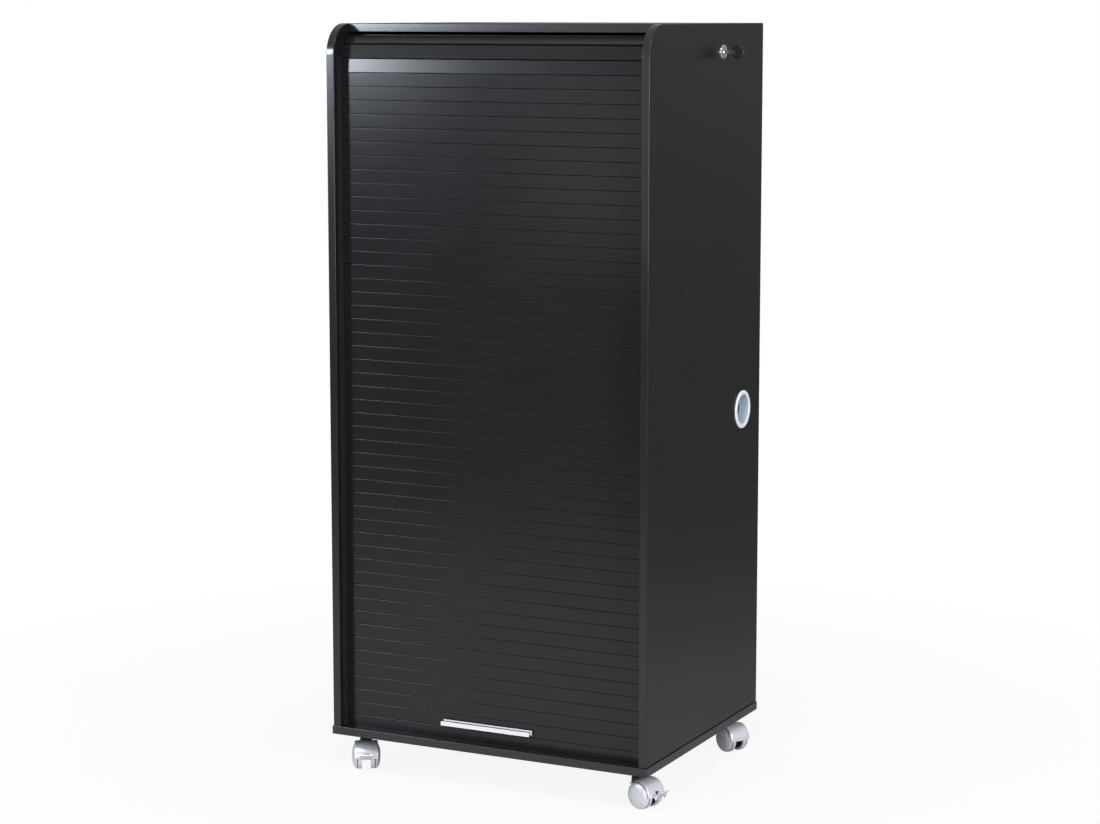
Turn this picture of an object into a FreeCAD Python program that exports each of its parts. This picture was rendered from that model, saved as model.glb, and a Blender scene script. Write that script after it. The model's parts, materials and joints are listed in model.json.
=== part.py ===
import FreeCAD, Part
import math
import os

import Sketcher

# A computer cabinet on casters with a roll shutter front, in millimetres.
# Z is up, the front faces -Y, and the origin lies on the floor under the middle of the base board.

# Driving lengths
LENGTHS = {
    # carcass
    "cabinet_width": 665,
    "cabinet_depth": 533,
    "cabinet_height": 1430,
    "board": 16,
    "base_overhang": 2,
    "base_height": 72,
    "corner_radius": 58,
    "top_setback": 57,
    "back_thickness": 6,
    "back_inset": 2.5,
    "back_groove_depth": 7,
    "inner_back_thickness": 10,
    "inner_back_gap": 26,
    "ceiling_drop": 74,
    "desk_height": 628,
    "upper_shelf_height": 1000,
    "lower_shelf_height": 350,
    "shelf_setback": 17,
    "shelf_side_gap": 1,
    "fit": 0.1,
    "overrun": 2,
    # shelf pins and board fittings
    "pin_radius": 2.5,
    "pin_length": 16,
    "pin_depth": 8,
    "pin_inset": 60,
    "pin_row_pitch": 32,
    "cam_lock_radius": 7.5,
    "cam_lock_height": 13,
    "cam_lock_inset": 34,
    "cam_lock_from_edge": 70,
    "cam_bolt_radius": 3,
    "cam_bolt_bore_radius": 4,
    "cam_bolt_depth": 10,
    "base_screw_radius": 3.5,
    "base_screw_head_radius": 5.5,
    "base_screw_head": 4,
    "base_screw_length": 50,
    "base_screw_from_edge": 60,
    # shutter and its track
    "shutter_setback": 27.5,
    "shutter_drop": 20,
    "bend_radius": 38,
    "slat_pitch": 25.65,
    "slat_thickness": 5,
    "slat_gap": 0.2,
    "slat_chamfer": 0.6,
    "slat_end_play": 0.8,
    "canvas_thickness": 0.5,
    "canvas_side_gap": 8,
    "track_inside": 5.1,
    "track_outside": 3.4,
    "track_wall": 1.2,
    "track_depth": 7,
    "track_lip": 1.2,
    "track_lip_width": 14,
    "track_end_height": 420,
    "rear_track_gap": 3,
    "glide_lead": 26,
    "rail_face_height": 19.6,
    "rail_gap": 0.3,
    "batten_thickness": 6,
    "batten_height": 38,
    "batten_side_gap": 6,
    # handle
    "handle_length": 187,
    "handle_offset": 9.5,
    "handle_reach": 13.5,
    "handle_wall": 1.6,
    "handle_lip_height": 8,
    "handle_flange_height": 16,
    "handle_top_above_base": 36.5,
    "handle_screw_radius": 2,
    "handle_screw_head_radius": 4,
    "handle_screw_head": 2.2,
    "handle_screw_from_end": 28,
    # cable grommet
    "grommet_radius": 37,
    "grommet_tube_radius": 30,
    "grommet_bore_radius": 28.5,
    "grommet_flange": 2.5,
    "grommet_tube_length": 19,
    "grommet_behind_front": 443,
    "grommet_below_top": 741,
    # lock and key
    "lock_behind_front": 333,
    "lock_below_top": 53,
    "lock_head_radius": 14,
    "lock_head_height": 3,
    "lock_barrel_radius": 9,
    "lock_barrel_length": 27,
    "lock_plug_radius": 6,
    "running_gap": 0.05,
    "lock_plug_proud": 0.8,
    "lock_plug_behind": 1,
    "key_slot_depth": 12,
    "lock_nut_flat": 24,
    "lock_nut_thickness": 5,
    "cam_plate": 2.5,
    "cam_width": 12,
    "cam_reach": 23,
    "cam_screw_radius": 3.5,
    "cam_screw_head": 2.5,
    "cam_screw_shank_radius": 2,
    "cam_screw_length": 8,
    "strike_gap": 2.5,
    "strike_plate": 2,
    "strike_drop": 13,
    "strike_width": 20,
    "strike_foot": 14,
    "key_thickness": 2,
    "key_blade_width": 8,
    "key_blade_inside": 10,
    "key_neck": 13,
    "key_head_radius": 12.6,
    "key_head_thickness": 5,
    # casters
    "caster_inset_x": 42.5,
    "caster_inset_y": 55.5,
    "caster_plate_side": 42,
    "caster_plate": 2.5,
    "caster_plate_corner": 5,
    "caster_screw_from_edge": 5.5,
    "caster_screw_radius": 1.9,
    "caster_screw_length": 13,
    "caster_screw_head_radius": 3.8,
    "caster_screw_head": 2,
    "cup_radius": 16,
    "stem_radius": 5,
    "stem_bottom_height": 37,
    "swivel_gap": 0.5,
    "wheel_radius": 26,
    "wheel_trail": 18,
    "wheel_inner_face": 9,
    "wheel_rim_face": 24.5,
    "wheel_shoulder": 6,
    "wheel_cap_radius": 15.6,
    "wheel_cap_face": 27.3,
    "axle_radius": 3,
    "axle_length": 45,
    "axle_end_gap": 0.3,
    "hood_gap": 0.8,
    "hood_wall": 2.2,
    "hood_half_width": 22.6,
    "hood_web_half": 8.5,
    "hood_boss_radius": 11,
    "hood_top_height": 56.5,
    "hood_foot_radius": 9.5,
    "lever_pivot_forward": 20,
    "lever_pivot_above_axle": 3,
    "lever_pin_radius": 1.5,
    "lever_eye_radius": 4,
    "lever_arm_width": 8,
    "lever_slot_gap": 0.5,
    "lever_paddle_width": 26,
    "lever_paddle_thickness": 2.5,
    "lever_root_forward": 31,
    "lever_root_above_axle": 1.5,
    "lever_tip_forward": 46,
    "lever_tip_above_axle": 14,
}

# Counts, and angles in degrees
FASTENER_SIDES = 6
ROUND_SIDES = 24
PIN_ROW_HOLES = 3
BASE_SCREWS_A_SIDE = 3
WHEEL_TURNS = {"front_left": -59.1, "front_right": -16.7, "rear_left": 125.0, "rear_right": -29.2}
CASTER_SIDES = {"front_left": (-1, -1), "front_right": (1, -1), "rear_left": (-1, 1), "rear_right": (1, 1)}


class Size:
    """A length that holds its number and the sheet expression that gives it."""

    def __init__(self, number, text):
        self.number = float(number)
        self.text = text

    def __add__(self, other):
        return Size(self.number + other.number, f"({self.text} + {other.text})")

    def __sub__(self, other):
        return Size(self.number - other.number, f"({self.text} - {other.text})")

    def __mul__(self, factor):
        return Size(self.number * factor, f"({self.text} * {factor:.9f})")

    def __truediv__(self, factor):
        return Size(self.number / factor, f"({self.text} / {factor:.9f})")

    def __neg__(self):
        return Size(-self.number, f"(0 - {self.text})")


class Sizes:
    """The sheet's aliases as attributes, each a Size."""


doc = FreeCAD.newDocument("computer_cabinet")
sheet = doc.addObject("Spreadsheet::Sheet", "sizes")
S = Sizes()
for row, (alias, length) in enumerate(LENGTHS.items(), start=1):
    sheet.set(f"A{row}", alias)
    sheet.set(f"B{row}", str(length))
    sheet.setAlias(f"B{row}", alias)
    setattr(S, alias, Size(length, f"sizes.{alias}"))
doc.recompute()
ZERO = Size(0, "0")

nodes = []


def node(item, label):
    """Names a finished sub-part and puts it on the list that is written out."""
    item.Label = label
    nodes.append(item)
    return item


def place(item, x=ZERO, y=ZERO, z=ZERO, axis=(0, 0, 1), turn=0.0):
    """Turns an object about an axis through its own origin, then moves it, bound to the sheet."""
    item.Placement = FreeCAD.Placement(
        FreeCAD.Vector(x.number, y.number, z.number), FreeCAD.Rotation(FreeCAD.Vector(*axis), turn)
    )
    for letter, value in zip("xyz", (x, y, z)):
        item.setExpression(f"Placement.Base.{letter}", value.text)
    return item


def box(name, low, high):
    """A Part box between two corners."""
    item = doc.addObject("Part::Box", name)
    for side, a, b in zip(("Length", "Width", "Height"), low, high):
        setattr(item, side, (b - a).number)
        item.setExpression(side, (b - a).text)
    return place(item, *low)


def rod(name, radius, length, start, axis=(0, 0, 1), turn=0.0):
    """A Part cylinder from a start point; axis and turn lay it down."""
    item = doc.addObject("Part::Cylinder", name)
    item.Radius = radius.number
    item.Height = length.number
    item.setExpression("Radius", radius.text)
    item.setExpression("Height", length.text)
    return place(item, *start, axis, turn)


def prism(name, sides, radius, length, start, axis=(0, 0, 1), turn=0.0):
    """A rod with flat sides, its corners at the given radius."""
    item = doc.addObject("Part::Prism", name)
    item.Polygon = sides
    item.Circumradius = radius.number
    item.Height = length.number
    item.setExpression("Circumradius", radius.text)
    item.setExpression("Height", length.text)
    return place(item, *start, axis, turn)


def fastener(name, radius, length, start, axis=(0, 0, 1), turn=0.0):
    """A small fastener that repeats, or its bore, with few sides."""
    return prism(name, FASTENER_SIDES, radius, length, start, axis, turn)


ALONG_X = ((0, 1, 0), 90)
ALONG_Y = ((1, 0, 0), -90)


def cut(name, base, tools):
    """The base less all the tools."""
    if len(tools) == 1:
        tool = tools[0]
    else:
        tool = doc.addObject("Part::MultiFuse", f"{name}_tools")
        tool.Shapes = tools
    item = doc.addObject("Part::Cut", name)
    item.Base = base
    item.Tool = tool
    return item


def fuse(name, shapes):
    item = doc.addObject("Part::MultiFuse", name)
    item.Shapes = shapes
    item.Refine = True
    return item


def group(name, items):
    """Separate solids that share one node."""
    item = doc.addObject("Part::Compound", name)
    item.Links = items
    return item


def origin_plane(body, role):
    return next(f for f in body.Origin.OriginFeatures if f.Role == role)


def held(sketch, kind, geometry, position, value):
    """Holds a sketch point at a distance from the sketch's origin, bound to the sheet."""
    index = sketch.addConstraint(Sketcher.Constraint(kind, -1, 1, geometry, position, value.number))
    if value is not ZERO:
        sketch.setExpression(f"Constraints[{index}]", value.text)


def locked(sketch, geometry, position, x, y):
    held(sketch, "DistanceX", geometry, position, x)
    held(sketch, "DistanceY", geometry, position, y)


def arc_between(start, end, radius, left):
    """An arc of at most a half turn; left says that it bulges to the left of the way from start to end."""
    a, b = FreeCAD.Vector(*start, 0), FreeCAD.Vector(*end, 0)
    way = b - a
    rise = math.sqrt(max(0.0, radius**2 - (way.Length / 2) ** 2))
    normal = FreeCAD.Vector(-way.y, way.x, 0).normalize()
    side = 1 if left else -1
    centre = (a + b) / 2 - normal * (rise * side)
    middle = centre + normal * (radius * side)
    return Part.Arc(a, middle, b)


def sketch_on(body, name, role, offset=ZERO):
    """An empty sketch on one of the body's origin planes, moved along the plane's normal."""
    item = body.newObject("Sketcher::SketchObject", name)
    item.AttachmentSupport = (origin_plane(body, role), [""])
    item.MapMode = "FlatFace"
    item.AttachmentOffset = FreeCAD.Placement(FreeCAD.Vector(0, 0, offset.number), FreeCAD.Rotation())
    if offset is not ZERO:
        item.setExpression("AttachmentOffset.Base.z", offset.text)
    return item


def outline(sketch, points):
    """A closed outline: each point is (x, y) or (x, y, radius, left) where the edge that leaves it is an arc."""
    first = sketch.GeometryCount
    count = len(points)
    for i, point in enumerate(points):
        start = (point[0].number, point[1].number)
        after = points[(i + 1) % count]
        end = (after[0].number, after[1].number)
        if len(point) > 2:
            sketch.addGeometry(arc_between(start, end, point[2].number, point[3]))
        else:
            sketch.addGeometry(Part.LineSegment(FreeCAD.Vector(*start, 0), FreeCAD.Vector(*end, 0)))
    starts = []
    for i, point in enumerate(points):
        begin = FreeCAD.Vector(point[0].number, point[1].number, 0)
        ends = [(sketch.getPoint(first + i, position) - begin).Length for position in (1, 2)]
        starts.append(1 if ends[0] < ends[1] else 2)
    for i, point in enumerate(points):
        after = (i + 1) % count
        sketch.addConstraint(
            Sketcher.Constraint("Coincident", first + i, 3 - starts[i], first + after, starts[after])
        )
        locked(sketch, first + i, starts[i], point[0], point[1])
    for i, point in enumerate(points):
        if len(point) > 2:
            after = points[(i + 1) % count]
            wide, tall = (after[0] - point[0]).number, (after[1] - point[1]).number
            if math.isclose(math.hypot(wide, tall), 2 * point[2].number):
                # a half turn is held by its centre, which lies on the chord
                if wide == 0:
                    held(sketch, "DistanceX", first + i, 3, point[0])
                else:
                    held(sketch, "DistanceY", first + i, 3, point[1])
            else:
                index = sketch.addConstraint(Sketcher.Constraint("Radius", first + i, point[2].number))
                sketch.setExpression(f"Constraints[{index}]", point[2].text)


def flat_sided(sketch, x, y, radius, sides, start):
    """The outline of a prism's bore; start is the angle of its first corner."""
    corners = []
    for i in range(sides):
        angle = start + 2 * math.pi * i / sides
        corners.append((x + radius * math.cos(angle), y + radius * math.sin(angle)))
    outline(sketch, corners)


def fastener_bore(sketch, x, y, radius, start=0.0):
    flat_sided(sketch, x, y, radius, FASTENER_SIDES, start)


def pad(body, sketch, length, midplane=False, backwards=False):
    item = body.newObject("PartDesign::Pad", f"{sketch.Name}_pad")
    item.Profile = sketch
    item.Length = length.number
    item.setExpression("Length", length.text)
    item.Midplane = midplane
    item.Reversed = backwards
    return item


def pocket(body, sketch, depth, backwards=False):
    item = body.newObject("PartDesign::Pocket", f"{sketch.Name}_pocket")
    item.Profile = sketch
    item.Length = depth.number
    item.setExpression("Length", depth.text)
    item.Reversed = backwards
    return item


def padded(name, role, points, length, midplane=True, offset=ZERO, backwards=False):
    """A body padded from one outline."""
    body = doc.addObject("PartDesign::Body", name)
    sketch = sketch_on(body, f"{name}_outline", role, offset)
    outline(sketch, points)
    pad(body, sketch, length, midplane, backwards)
    return body


# Levels and faces that several pieces share
half_width = S.cabinet_width / 2
back = S.cabinet_depth / 2
front = S.base_overhang - back
side_outer = half_width - S.base_overhang
side_inner = side_outer - S.board
base_top = S.base_height + S.board
top_under = S.cabinet_height - S.board
back_panel_front = back - S.back_inset - S.back_thickness
inner_back_rear = back_panel_front - S.inner_back_gap
inner_back_front = inner_back_rear - S.inner_back_thickness
ceiling_top = S.cabinet_height - S.ceiling_drop
ceiling_under = ceiling_top - S.board
shutter_face = front + S.shutter_setback
shutter_rear = shutter_face + S.slat_thickness
shelf_front = shutter_face + S.shelf_setback

# The shutter's path: up the front, back under the top and down behind the inner back.
run_front = shutter_face + S.slat_thickness / 2
run_top = S.cabinet_height - S.shutter_drop - S.slat_thickness / 2
channel_inside = S.track_inside + S.track_wall
channel_outside = S.track_outside + S.track_wall
run_rear = back_panel_front - S.rear_track_gap - channel_outside
bend_height = run_top - S.bend_radius
bend_front = run_front + S.bend_radius
bend_rear = run_rear - S.bend_radius


def band(low_front, low_rear, inside, outside):
    """The outline between two lines that run along the shutter's path, inside and outside of it."""
    inner, outer = S.bend_radius - inside, S.bend_radius + outside
    return [
        (run_front - outside, low_front),
        (run_front - outside, bend_height, outer, True),
        (bend_front, run_top + outside),
        (bend_rear, run_top + outside, outer, True),
        (run_rear + outside, bend_height),
        (run_rear + outside, low_rear),
        (run_rear - inside, low_rear),
        (run_rear - inside, bend_height, inner, False),
        (bend_rear, run_top - inside),
        (bend_front, run_top - inside, inner, False),
        (run_front + inside, bend_height),
        (run_front + inside, low_front),
    ]


def rectangle(low_x, low_y, high_x, high_y):
    return [(low_x, low_y), (high_x, low_y), (high_x, high_y), (low_x, high_y)]


# Places of the fittings that hold boards to the side panels
top_front = front + S.top_setback
fixed_boards = {
    "top": (top_front, back, top_under),
    "ceiling": (shelf_front, inner_back_rear, ceiling_under),
    "desk": (shelf_front, inner_back_front, S.desk_height - S.board),
}
loose_shelves = {"upper": S.upper_shelf_height, "lower": S.lower_shelf_height}
pin_columns = (shelf_front + S.pin_inset, inner_back_front - S.pin_inset)


def bolt_places():
    """The (y, z) of each bolt that joins a fixed board to a side panel."""
    places = []
    for low_y, high_y, under in fixed_boards.values():
        for y in (low_y + S.cam_lock_from_edge, high_y - S.cam_lock_from_edge):
            places.append((y, under + S.board / 2))
    return places


def pin_levels(height):
    """The height of each hole in a row that a loose shelf can be pinned at, middle hole in use."""
    middle = height - S.board - S.pin_radius
    return [middle + S.pin_row_pitch * (i - PIN_ROW_HOLES // 2) for i in range(PIN_ROW_HOLES)]


def screw_rows():
    """The y of each screw up through the base board into a side panel."""
    first, last = front + S.base_screw_from_edge, back - S.base_screw_from_edge
    step = (last - first) / (BASE_SCREWS_A_SIDE - 1)
    return [first + step * i for i in range(BASE_SCREWS_A_SIDE)]


grommet_y = front + S.grommet_behind_front
grommet_z = S.cabinet_height - S.grommet_below_top
lock_y = front + S.lock_behind_front
lock_z = S.cabinet_height - S.lock_below_top


# Side panels, each with its rounded corner, shutter groove, back groove and bores
def side_panel(name, hand):
    body = doc.addObject("PartDesign::Body", name)
    inner_plane = ZERO if hand > 0 else S.board
    into = hand > 0
    sketch = sketch_on(body, f"{name}_outline", "YZ_Plane")
    outline(sketch, [
        (front, base_top),
        (front, S.cabinet_height - S.corner_radius, S.corner_radius, True),
        (front + S.corner_radius, S.cabinet_height),
        (back, S.cabinet_height),
        (back, base_top),
    ])
    pad(body, sketch, S.board)
    sketch = sketch_on(body, f"{name}_shutter_groove", "YZ_Plane", inner_plane)
    outline(sketch, band(base_top - S.overrun, S.track_end_height, channel_inside, channel_outside))
    pocket(body, sketch, S.track_depth, into)
    sketch = sketch_on(body, f"{name}_back_groove", "YZ_Plane", inner_plane)
    outline(sketch, rectangle(
        back_panel_front - S.fit, base_top - S.overrun, back_panel_front + S.back_thickness + S.fit, top_under
    ))
    pocket(body, sketch, S.back_groove_depth, into)
    sketch = sketch_on(body, f"{name}_pin_holes", "YZ_Plane", inner_plane)
    for height in loose_shelves.values():
        for z in pin_levels(height):
            for y in pin_columns:
                fastener_bore(sketch, y, z, S.pin_radius, math.pi / 2)
    pocket(body, sketch, S.pin_depth, into)
    sketch = sketch_on(body, f"{name}_bolt_holes", "YZ_Plane", inner_plane)
    for y, z in bolt_places():
        fastener_bore(sketch, y, z, S.cam_bolt_radius, math.pi / 2)
    pocket(body, sketch, S.cam_bolt_depth, into)
    sketch = sketch_on(body, f"{name}_screw_holes", "XY_Plane", base_top)
    for y in screw_rows():
        fastener_bore(sketch, S.board / 2, y, S.base_screw_radius)
    pocket(body, sketch, S.base_screw_length - S.board, True)
    if hand > 0:
        sketch = sketch_on(body, f"{name}_through_holes", "YZ_Plane")
        flat_sided(sketch, grommet_y, grommet_z, S.grommet_tube_radius, ROUND_SIDES, 0.0)
        flat_sided(sketch, lock_y, lock_z, S.lock_barrel_radius, ROUND_SIDES, 0.0)
        pocket(body, sketch, S.board + S.overrun, True)
    place(body, side_inner if hand > 0 else -side_outer)
    return node(body, name)


side_panel("side_left", -1)
side_panel("side_right", 1)


# Base board with the bores of its screws, and the screws
def base_screw_bores():
    tools = []
    for sign in (-1, 1):
        for y in screw_rows():
            x = (side_inner + S.board / 2) * sign
            number = len(tools)
            tools.append(fastener(f"base_bore_{number}", S.base_screw_radius, S.board + S.overrun * 2,
                                  (x, y, S.base_height - S.overrun)))
            tools.append(fastener(f"base_sink_{number}", S.base_screw_head_radius, S.base_screw_head + S.overrun,
                                  (x, y, S.base_height - S.overrun)))
    return tools


caster_x = half_width - S.caster_inset_x
caster_y = back - S.caster_inset_y


def caster_screw_places():
    """The (x, y) of each screw of each caster plate."""
    reach = S.caster_plate_side / 2 - S.caster_screw_from_edge
    places = []
    for side_x, side_y in CASTER_SIDES.values():
        for sign_x in (-1, 1):
            for sign_y in (-1, 1):
                places.append((caster_x * side_x + reach * sign_x, caster_y * side_y + reach * sign_y))
    return places


caster_bores = [
    fastener(f"caster_bore_{i}", S.caster_screw_radius, S.caster_screw_length + S.overrun,
             (x, y, S.base_height - S.overrun))
    for i, (x, y) in enumerate(caster_screw_places())
]
base = box("base_blank", (-half_width, -back, S.base_height), (half_width, back, base_top))
node(cut("base_board", base, base_screw_bores() + caster_bores), "base_board")

base_screws = []
for sign in (-1, 1):
    for y in screw_rows():
        x = (side_inner + S.board / 2) * sign
        number = len(base_screws)
        start = (x, y, S.base_height)
        head = fastener(f"base_screw_head_{number}", S.base_screw_head_radius, S.base_screw_head, start)
        shank = fastener(f"base_screw_shank_{number}", S.base_screw_radius, S.base_screw_length, start)
        base_screws.append(fuse(f"base_screw_{number}", [head, shank]))
node(group("base_screws", base_screws), "base_screws")


# Fixed boards between the side panels, with the bores of their cam locks and bolts
def fixed_board(name, key):
    low_y, high_y, under = fixed_boards[key]
    blank = box(f"{name}_blank", (-side_inner, low_y, under), (side_inner, high_y, under + S.board))
    tools = []
    for sign in (-1, 1):
        for y in (low_y + S.cam_lock_from_edge, high_y - S.cam_lock_from_edge):
            number = len(tools)
            x = (side_inner - S.cam_lock_inset) * sign
            tools.append(fastener(f"{name}_cam_bore_{number}", S.cam_lock_radius, S.cam_lock_height + S.overrun,
                                  (x, y, under - S.overrun)))
            end = side_inner - S.cam_lock_inset if sign > 0 else -side_inner - S.overrun
            tools.append(fastener(f"{name}_bolt_bore_{number}", S.cam_bolt_bore_radius,
                                  S.cam_lock_inset + S.overrun, (end, y, under + S.board / 2), *ALONG_X))
    return node(cut(name, blank, tools), name)


fixed_board("top_board", "top")
fixed_board("inner_ceiling", "ceiling")
fixed_board("desk_shelf", "desk")

cam_locks = []
cam_bolts = []
for low_y, high_y, under in fixed_boards.values():
    for sign in (-1, 1):
        for y in (low_y + S.cam_lock_from_edge, high_y - S.cam_lock_from_edge):
            number = len(cam_locks)
            x = (side_inner - S.cam_lock_inset) * sign
            cam_locks.append(fastener(f"cam_lock_{number}", S.cam_lock_radius, S.cam_lock_height, (x, y, under)))
            reach = S.cam_lock_inset - S.cam_lock_radius
            start = side_inner - reach if sign > 0 else -side_inner - S.cam_bolt_depth
            cam_bolts.append(fastener(f"cam_bolt_{number}", S.cam_bolt_radius, reach + S.cam_bolt_depth,
                                      (start, y, under + S.board / 2), *ALONG_X))
node(group("cam_locks", cam_locks), "cam_locks")
node(group("cam_bolts", cam_bolts), "cam_bolts")

# Loose shelves on their pins
for key, height in loose_shelves.items():
    low = (-side_inner + S.shelf_side_gap, shelf_front, height - S.board)
    high = (side_inner - S.shelf_side_gap, inner_back_front - S.shelf_side_gap, height)
    node(box(f"{key}_shelf", low, high), f"{key}_shelf")

pins = []
for height in loose_shelves.values():
    for sign in (-1, 1):
        for y in pin_columns:
            start = side_inner - S.pin_length + S.pin_depth if sign > 0 else -side_inner - S.pin_depth
            pins.append(fastener(f"shelf_pin_{len(pins)}", S.pin_radius, S.pin_length,
                                 (start, y, height - S.board - S.pin_radius), *ALONG_X))
node(group("shelf_pins", pins), "shelf_pins")

# Inner back, which hides the shutter's rear run, and the back panel in its grooves
node(box("inner_back", (-side_inner, inner_back_front, base_top), (side_inner, inner_back_rear, ceiling_under)),
     "inner_back")
panel_reach = side_inner + S.back_groove_depth - S.fit
node(box("back_panel", (-panel_reach, back_panel_front, base_top),
         (panel_reach, back_panel_front + S.back_thickness, top_under)), "back_panel")


# Shutter tracks: a channel let into the side panel and a cover lip on its face
def track(name, hand):
    body = doc.addObject("PartDesign::Body", name)
    face = ZERO
    channel = sketch_on(body, f"{name}_channel", "YZ_Plane", face)
    outline(channel, band(base_top, S.track_end_height, channel_inside, channel_outside))
    pad(body, channel, S.track_depth, backwards=hand < 0)
    lip = sketch_on(body, f"{name}_lip", "YZ_Plane", face)
    lip_rear = run_front - S.track_outside
    outline(lip, rectangle(lip_rear - S.track_wall - S.track_lip_width, base_top, lip_rear, bend_height))
    pad(body, lip, S.track_lip, backwards=hand > 0)
    slot = sketch_on(body, f"{name}_slot", "YZ_Plane", face)
    outline(slot, band(base_top - S.overrun, S.track_end_height - S.overrun, S.track_inside, S.track_outside))
    pocket(body, slot, S.track_depth - S.track_wall, hand > 0)
    glide = sketch_on(body, f"{name}_glide", "YZ_Plane", face)
    outline(glide, rectangle(bend_front + S.glide_lead, run_top - channel_inside,
                             bend_rear - S.glide_lead, run_top - S.slat_thickness / 2))
    pad(body, glide, S.track_depth, backwards=hand < 0)
    place(body, side_inner * hand)
    return node(body, name)


track("track_left", -1)
track("track_right", 1)

# Shutter slats on their canvas
slat_half = side_inner + S.track_depth - S.track_wall - S.slat_end_play
canvas_half = side_inner - S.canvas_side_gap
rail_low = base_top + S.rail_gap
handle_slat_low = rail_low + S.rail_face_height
first_slat_low = handle_slat_low + S.slat_pitch
slat_count = int((bend_height - first_slat_low).number / S.slat_pitch.number)


def slat_outline(low):
    """A slat's section in (y, z): flat back, and a face with both long edges broken."""
    depth = S.slat_thickness
    bottom, top = low + S.slat_gap / 2, low + S.slat_pitch - S.slat_gap / 2
    return [
        (shutter_rear, bottom),
        (shutter_rear, top),
        (shutter_rear - depth + S.slat_chamfer, top),
        (shutter_rear - depth, top - S.slat_chamfer),
        (shutter_rear - depth, bottom + S.slat_chamfer),
        (shutter_rear - depth + S.slat_chamfer, bottom),
    ]


pattern_slat = padded("pattern_slat", "YZ_Plane", slat_outline(first_slat_low), slat_half * 2)
doc.recompute()
hinge_line = FreeCAD.Vector(0, shutter_rear.number, first_slat_low.number)


def copies(name, shapes):
    item = doc.addObject("Part::Feature", name)
    item.Shape = Part.makeCompound(shapes)
    return item


def slat_copy(point, direction):
    """The pattern slat with its rear lower edge at a point of the path and lying along a direction in YZ."""
    turn = -math.degrees(math.atan2(direction.y, direction.z))
    shape = pattern_slat.Shape.copy()
    shape.translate(-hinge_line)
    shape.rotate(FreeCAD.Vector(), FreeCAD.Vector(1, 0, 0), turn)
    shape.translate(point)
    return shape


rise = FreeCAD.Vector(0, 0, S.slat_pitch.number)
upright = FreeCAD.Vector(0, 0, 1)
node(copies("shutter_slats", [slat_copy(hinge_line + rise * i, upright) for i in range(slat_count)]),
     "shutter_slats")
front_top = first_slat_low + S.slat_pitch * slat_count
node(box("shutter_canvas", (-canvas_half, shutter_rear, rail_low + S.batten_height),
         (canvas_half, shutter_rear + S.canvas_thickness, front_top)), "shutter_canvas")


def path_point(along, inset):
    """A point of the shutter's rear face, inset to its inside, at a distance from where the front slats end."""
    radius = S.bend_radius.number - S.slat_thickness.number / 2
    straight = (bend_height - front_top).number
    if along < straight:
        return FreeCAD.Vector(0, shutter_rear.number + inset, front_top.number + along)
    angle = (along - straight) / radius
    if angle < math.pi / 2:
        reach = radius - inset
        return FreeCAD.Vector(
            0, bend_front.number - reach * math.cos(angle), bend_height.number + reach * math.sin(angle)
        )
    past = along - straight - radius * math.pi / 2
    return FreeCAD.Vector(0, bend_front.number + past, bend_height.number + radius - inset)


def next_hinge(along):
    """How far along the path the next hinge line lies, one slat's width away in a straight line."""
    start, width = path_point(along, 0), S.slat_pitch.number
    low, high = along, along + width * math.pi / 2
    while high - low > S.slat_gap.number / 1000:
        middle = (low + high) / 2
        if (path_point(middle, 0) - start).Length < width:
            low = middle
        else:
            high = middle
    return high


hinges = [0.0]
strike_y = lock_y - S.cam_width / 2 - S.strike_gap - S.strike_plate
while path_point(hinges[-1], 0).y < (strike_y + S.strike_foot).number:
    hinges.append(next_hinge(hinges[-1]))
top_slats = []
for start, end in zip(hinges, hinges[1:]):
    a, b = path_point(start, 0), path_point(end, 0)
    top_slats.append(slat_copy(a, (b - a).normalize()))
node(copies("shutter_slats_top", top_slats), "shutter_slats_top")


def canvas_strip():
    """The canvas behind the bent and top slats, as one bent sheet."""
    thickness = S.canvas_thickness.number
    outer = [path_point(s, 0) for s in hinges]
    inner = [path_point(s, thickness) for s in reversed(hinges)]
    wire = Part.makePolygon(outer + inner + outer[:1])
    half = canvas_half.number
    wire.translate(FreeCAD.Vector(-half, 0, 0))
    return Part.Face(wire).extrude(FreeCAD.Vector(2 * half, 0, 0))


node(copies("shutter_canvas_top", [canvas_strip()]), "shutter_canvas_top")

# Bottom rail with the batten behind it, and the slat that carries the handle
handle_x = -S.handle_offset
screw_xs = [handle_x + (S.handle_length / 2 - S.handle_screw_from_end) * sign for sign in (-1, 1)]
handle_top = base_top + S.handle_top_above_base
handle_screw_z = handle_top - S.handle_flange_height / 2
batten_half = side_inner - S.batten_side_gap
batten_rear = shutter_rear + S.batten_thickness


def handle_bores(name):
    reach = S.handle_reach + S.slat_thickness + S.batten_thickness
    return [
        fastener(f"{name}_screw_bore_{i}", S.handle_screw_radius, reach, (x, batten_rear - reach, handle_screw_z),
                 *ALONG_Y)
        for i, x in enumerate(screw_xs)
    ]


rail_bottom, rail_top = rail_low, handle_slat_low - S.slat_gap / 2
rail_face = padded("rail_face", "YZ_Plane", [
    (shutter_rear, rail_bottom),
    (shutter_rear, rail_top),
    (shutter_face + S.slat_chamfer, rail_top),
    (shutter_face, rail_top - S.slat_chamfer),
    (shutter_face, rail_bottom),
], slat_half * 2)
batten = box("batten", (-batten_half, shutter_rear, rail_low),
             (batten_half, batten_rear, rail_low + S.batten_height))
node(cut("bottom_rail", fuse("rail_and_batten", [rail_face, batten]), handle_bores("rail")), "bottom_rail")
handle_slat = padded("handle_slat_blank", "YZ_Plane", slat_outline(handle_slat_low), slat_half * 2)
node(cut("handle_slat", handle_slat, handle_bores("slat")), "handle_slat")

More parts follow.
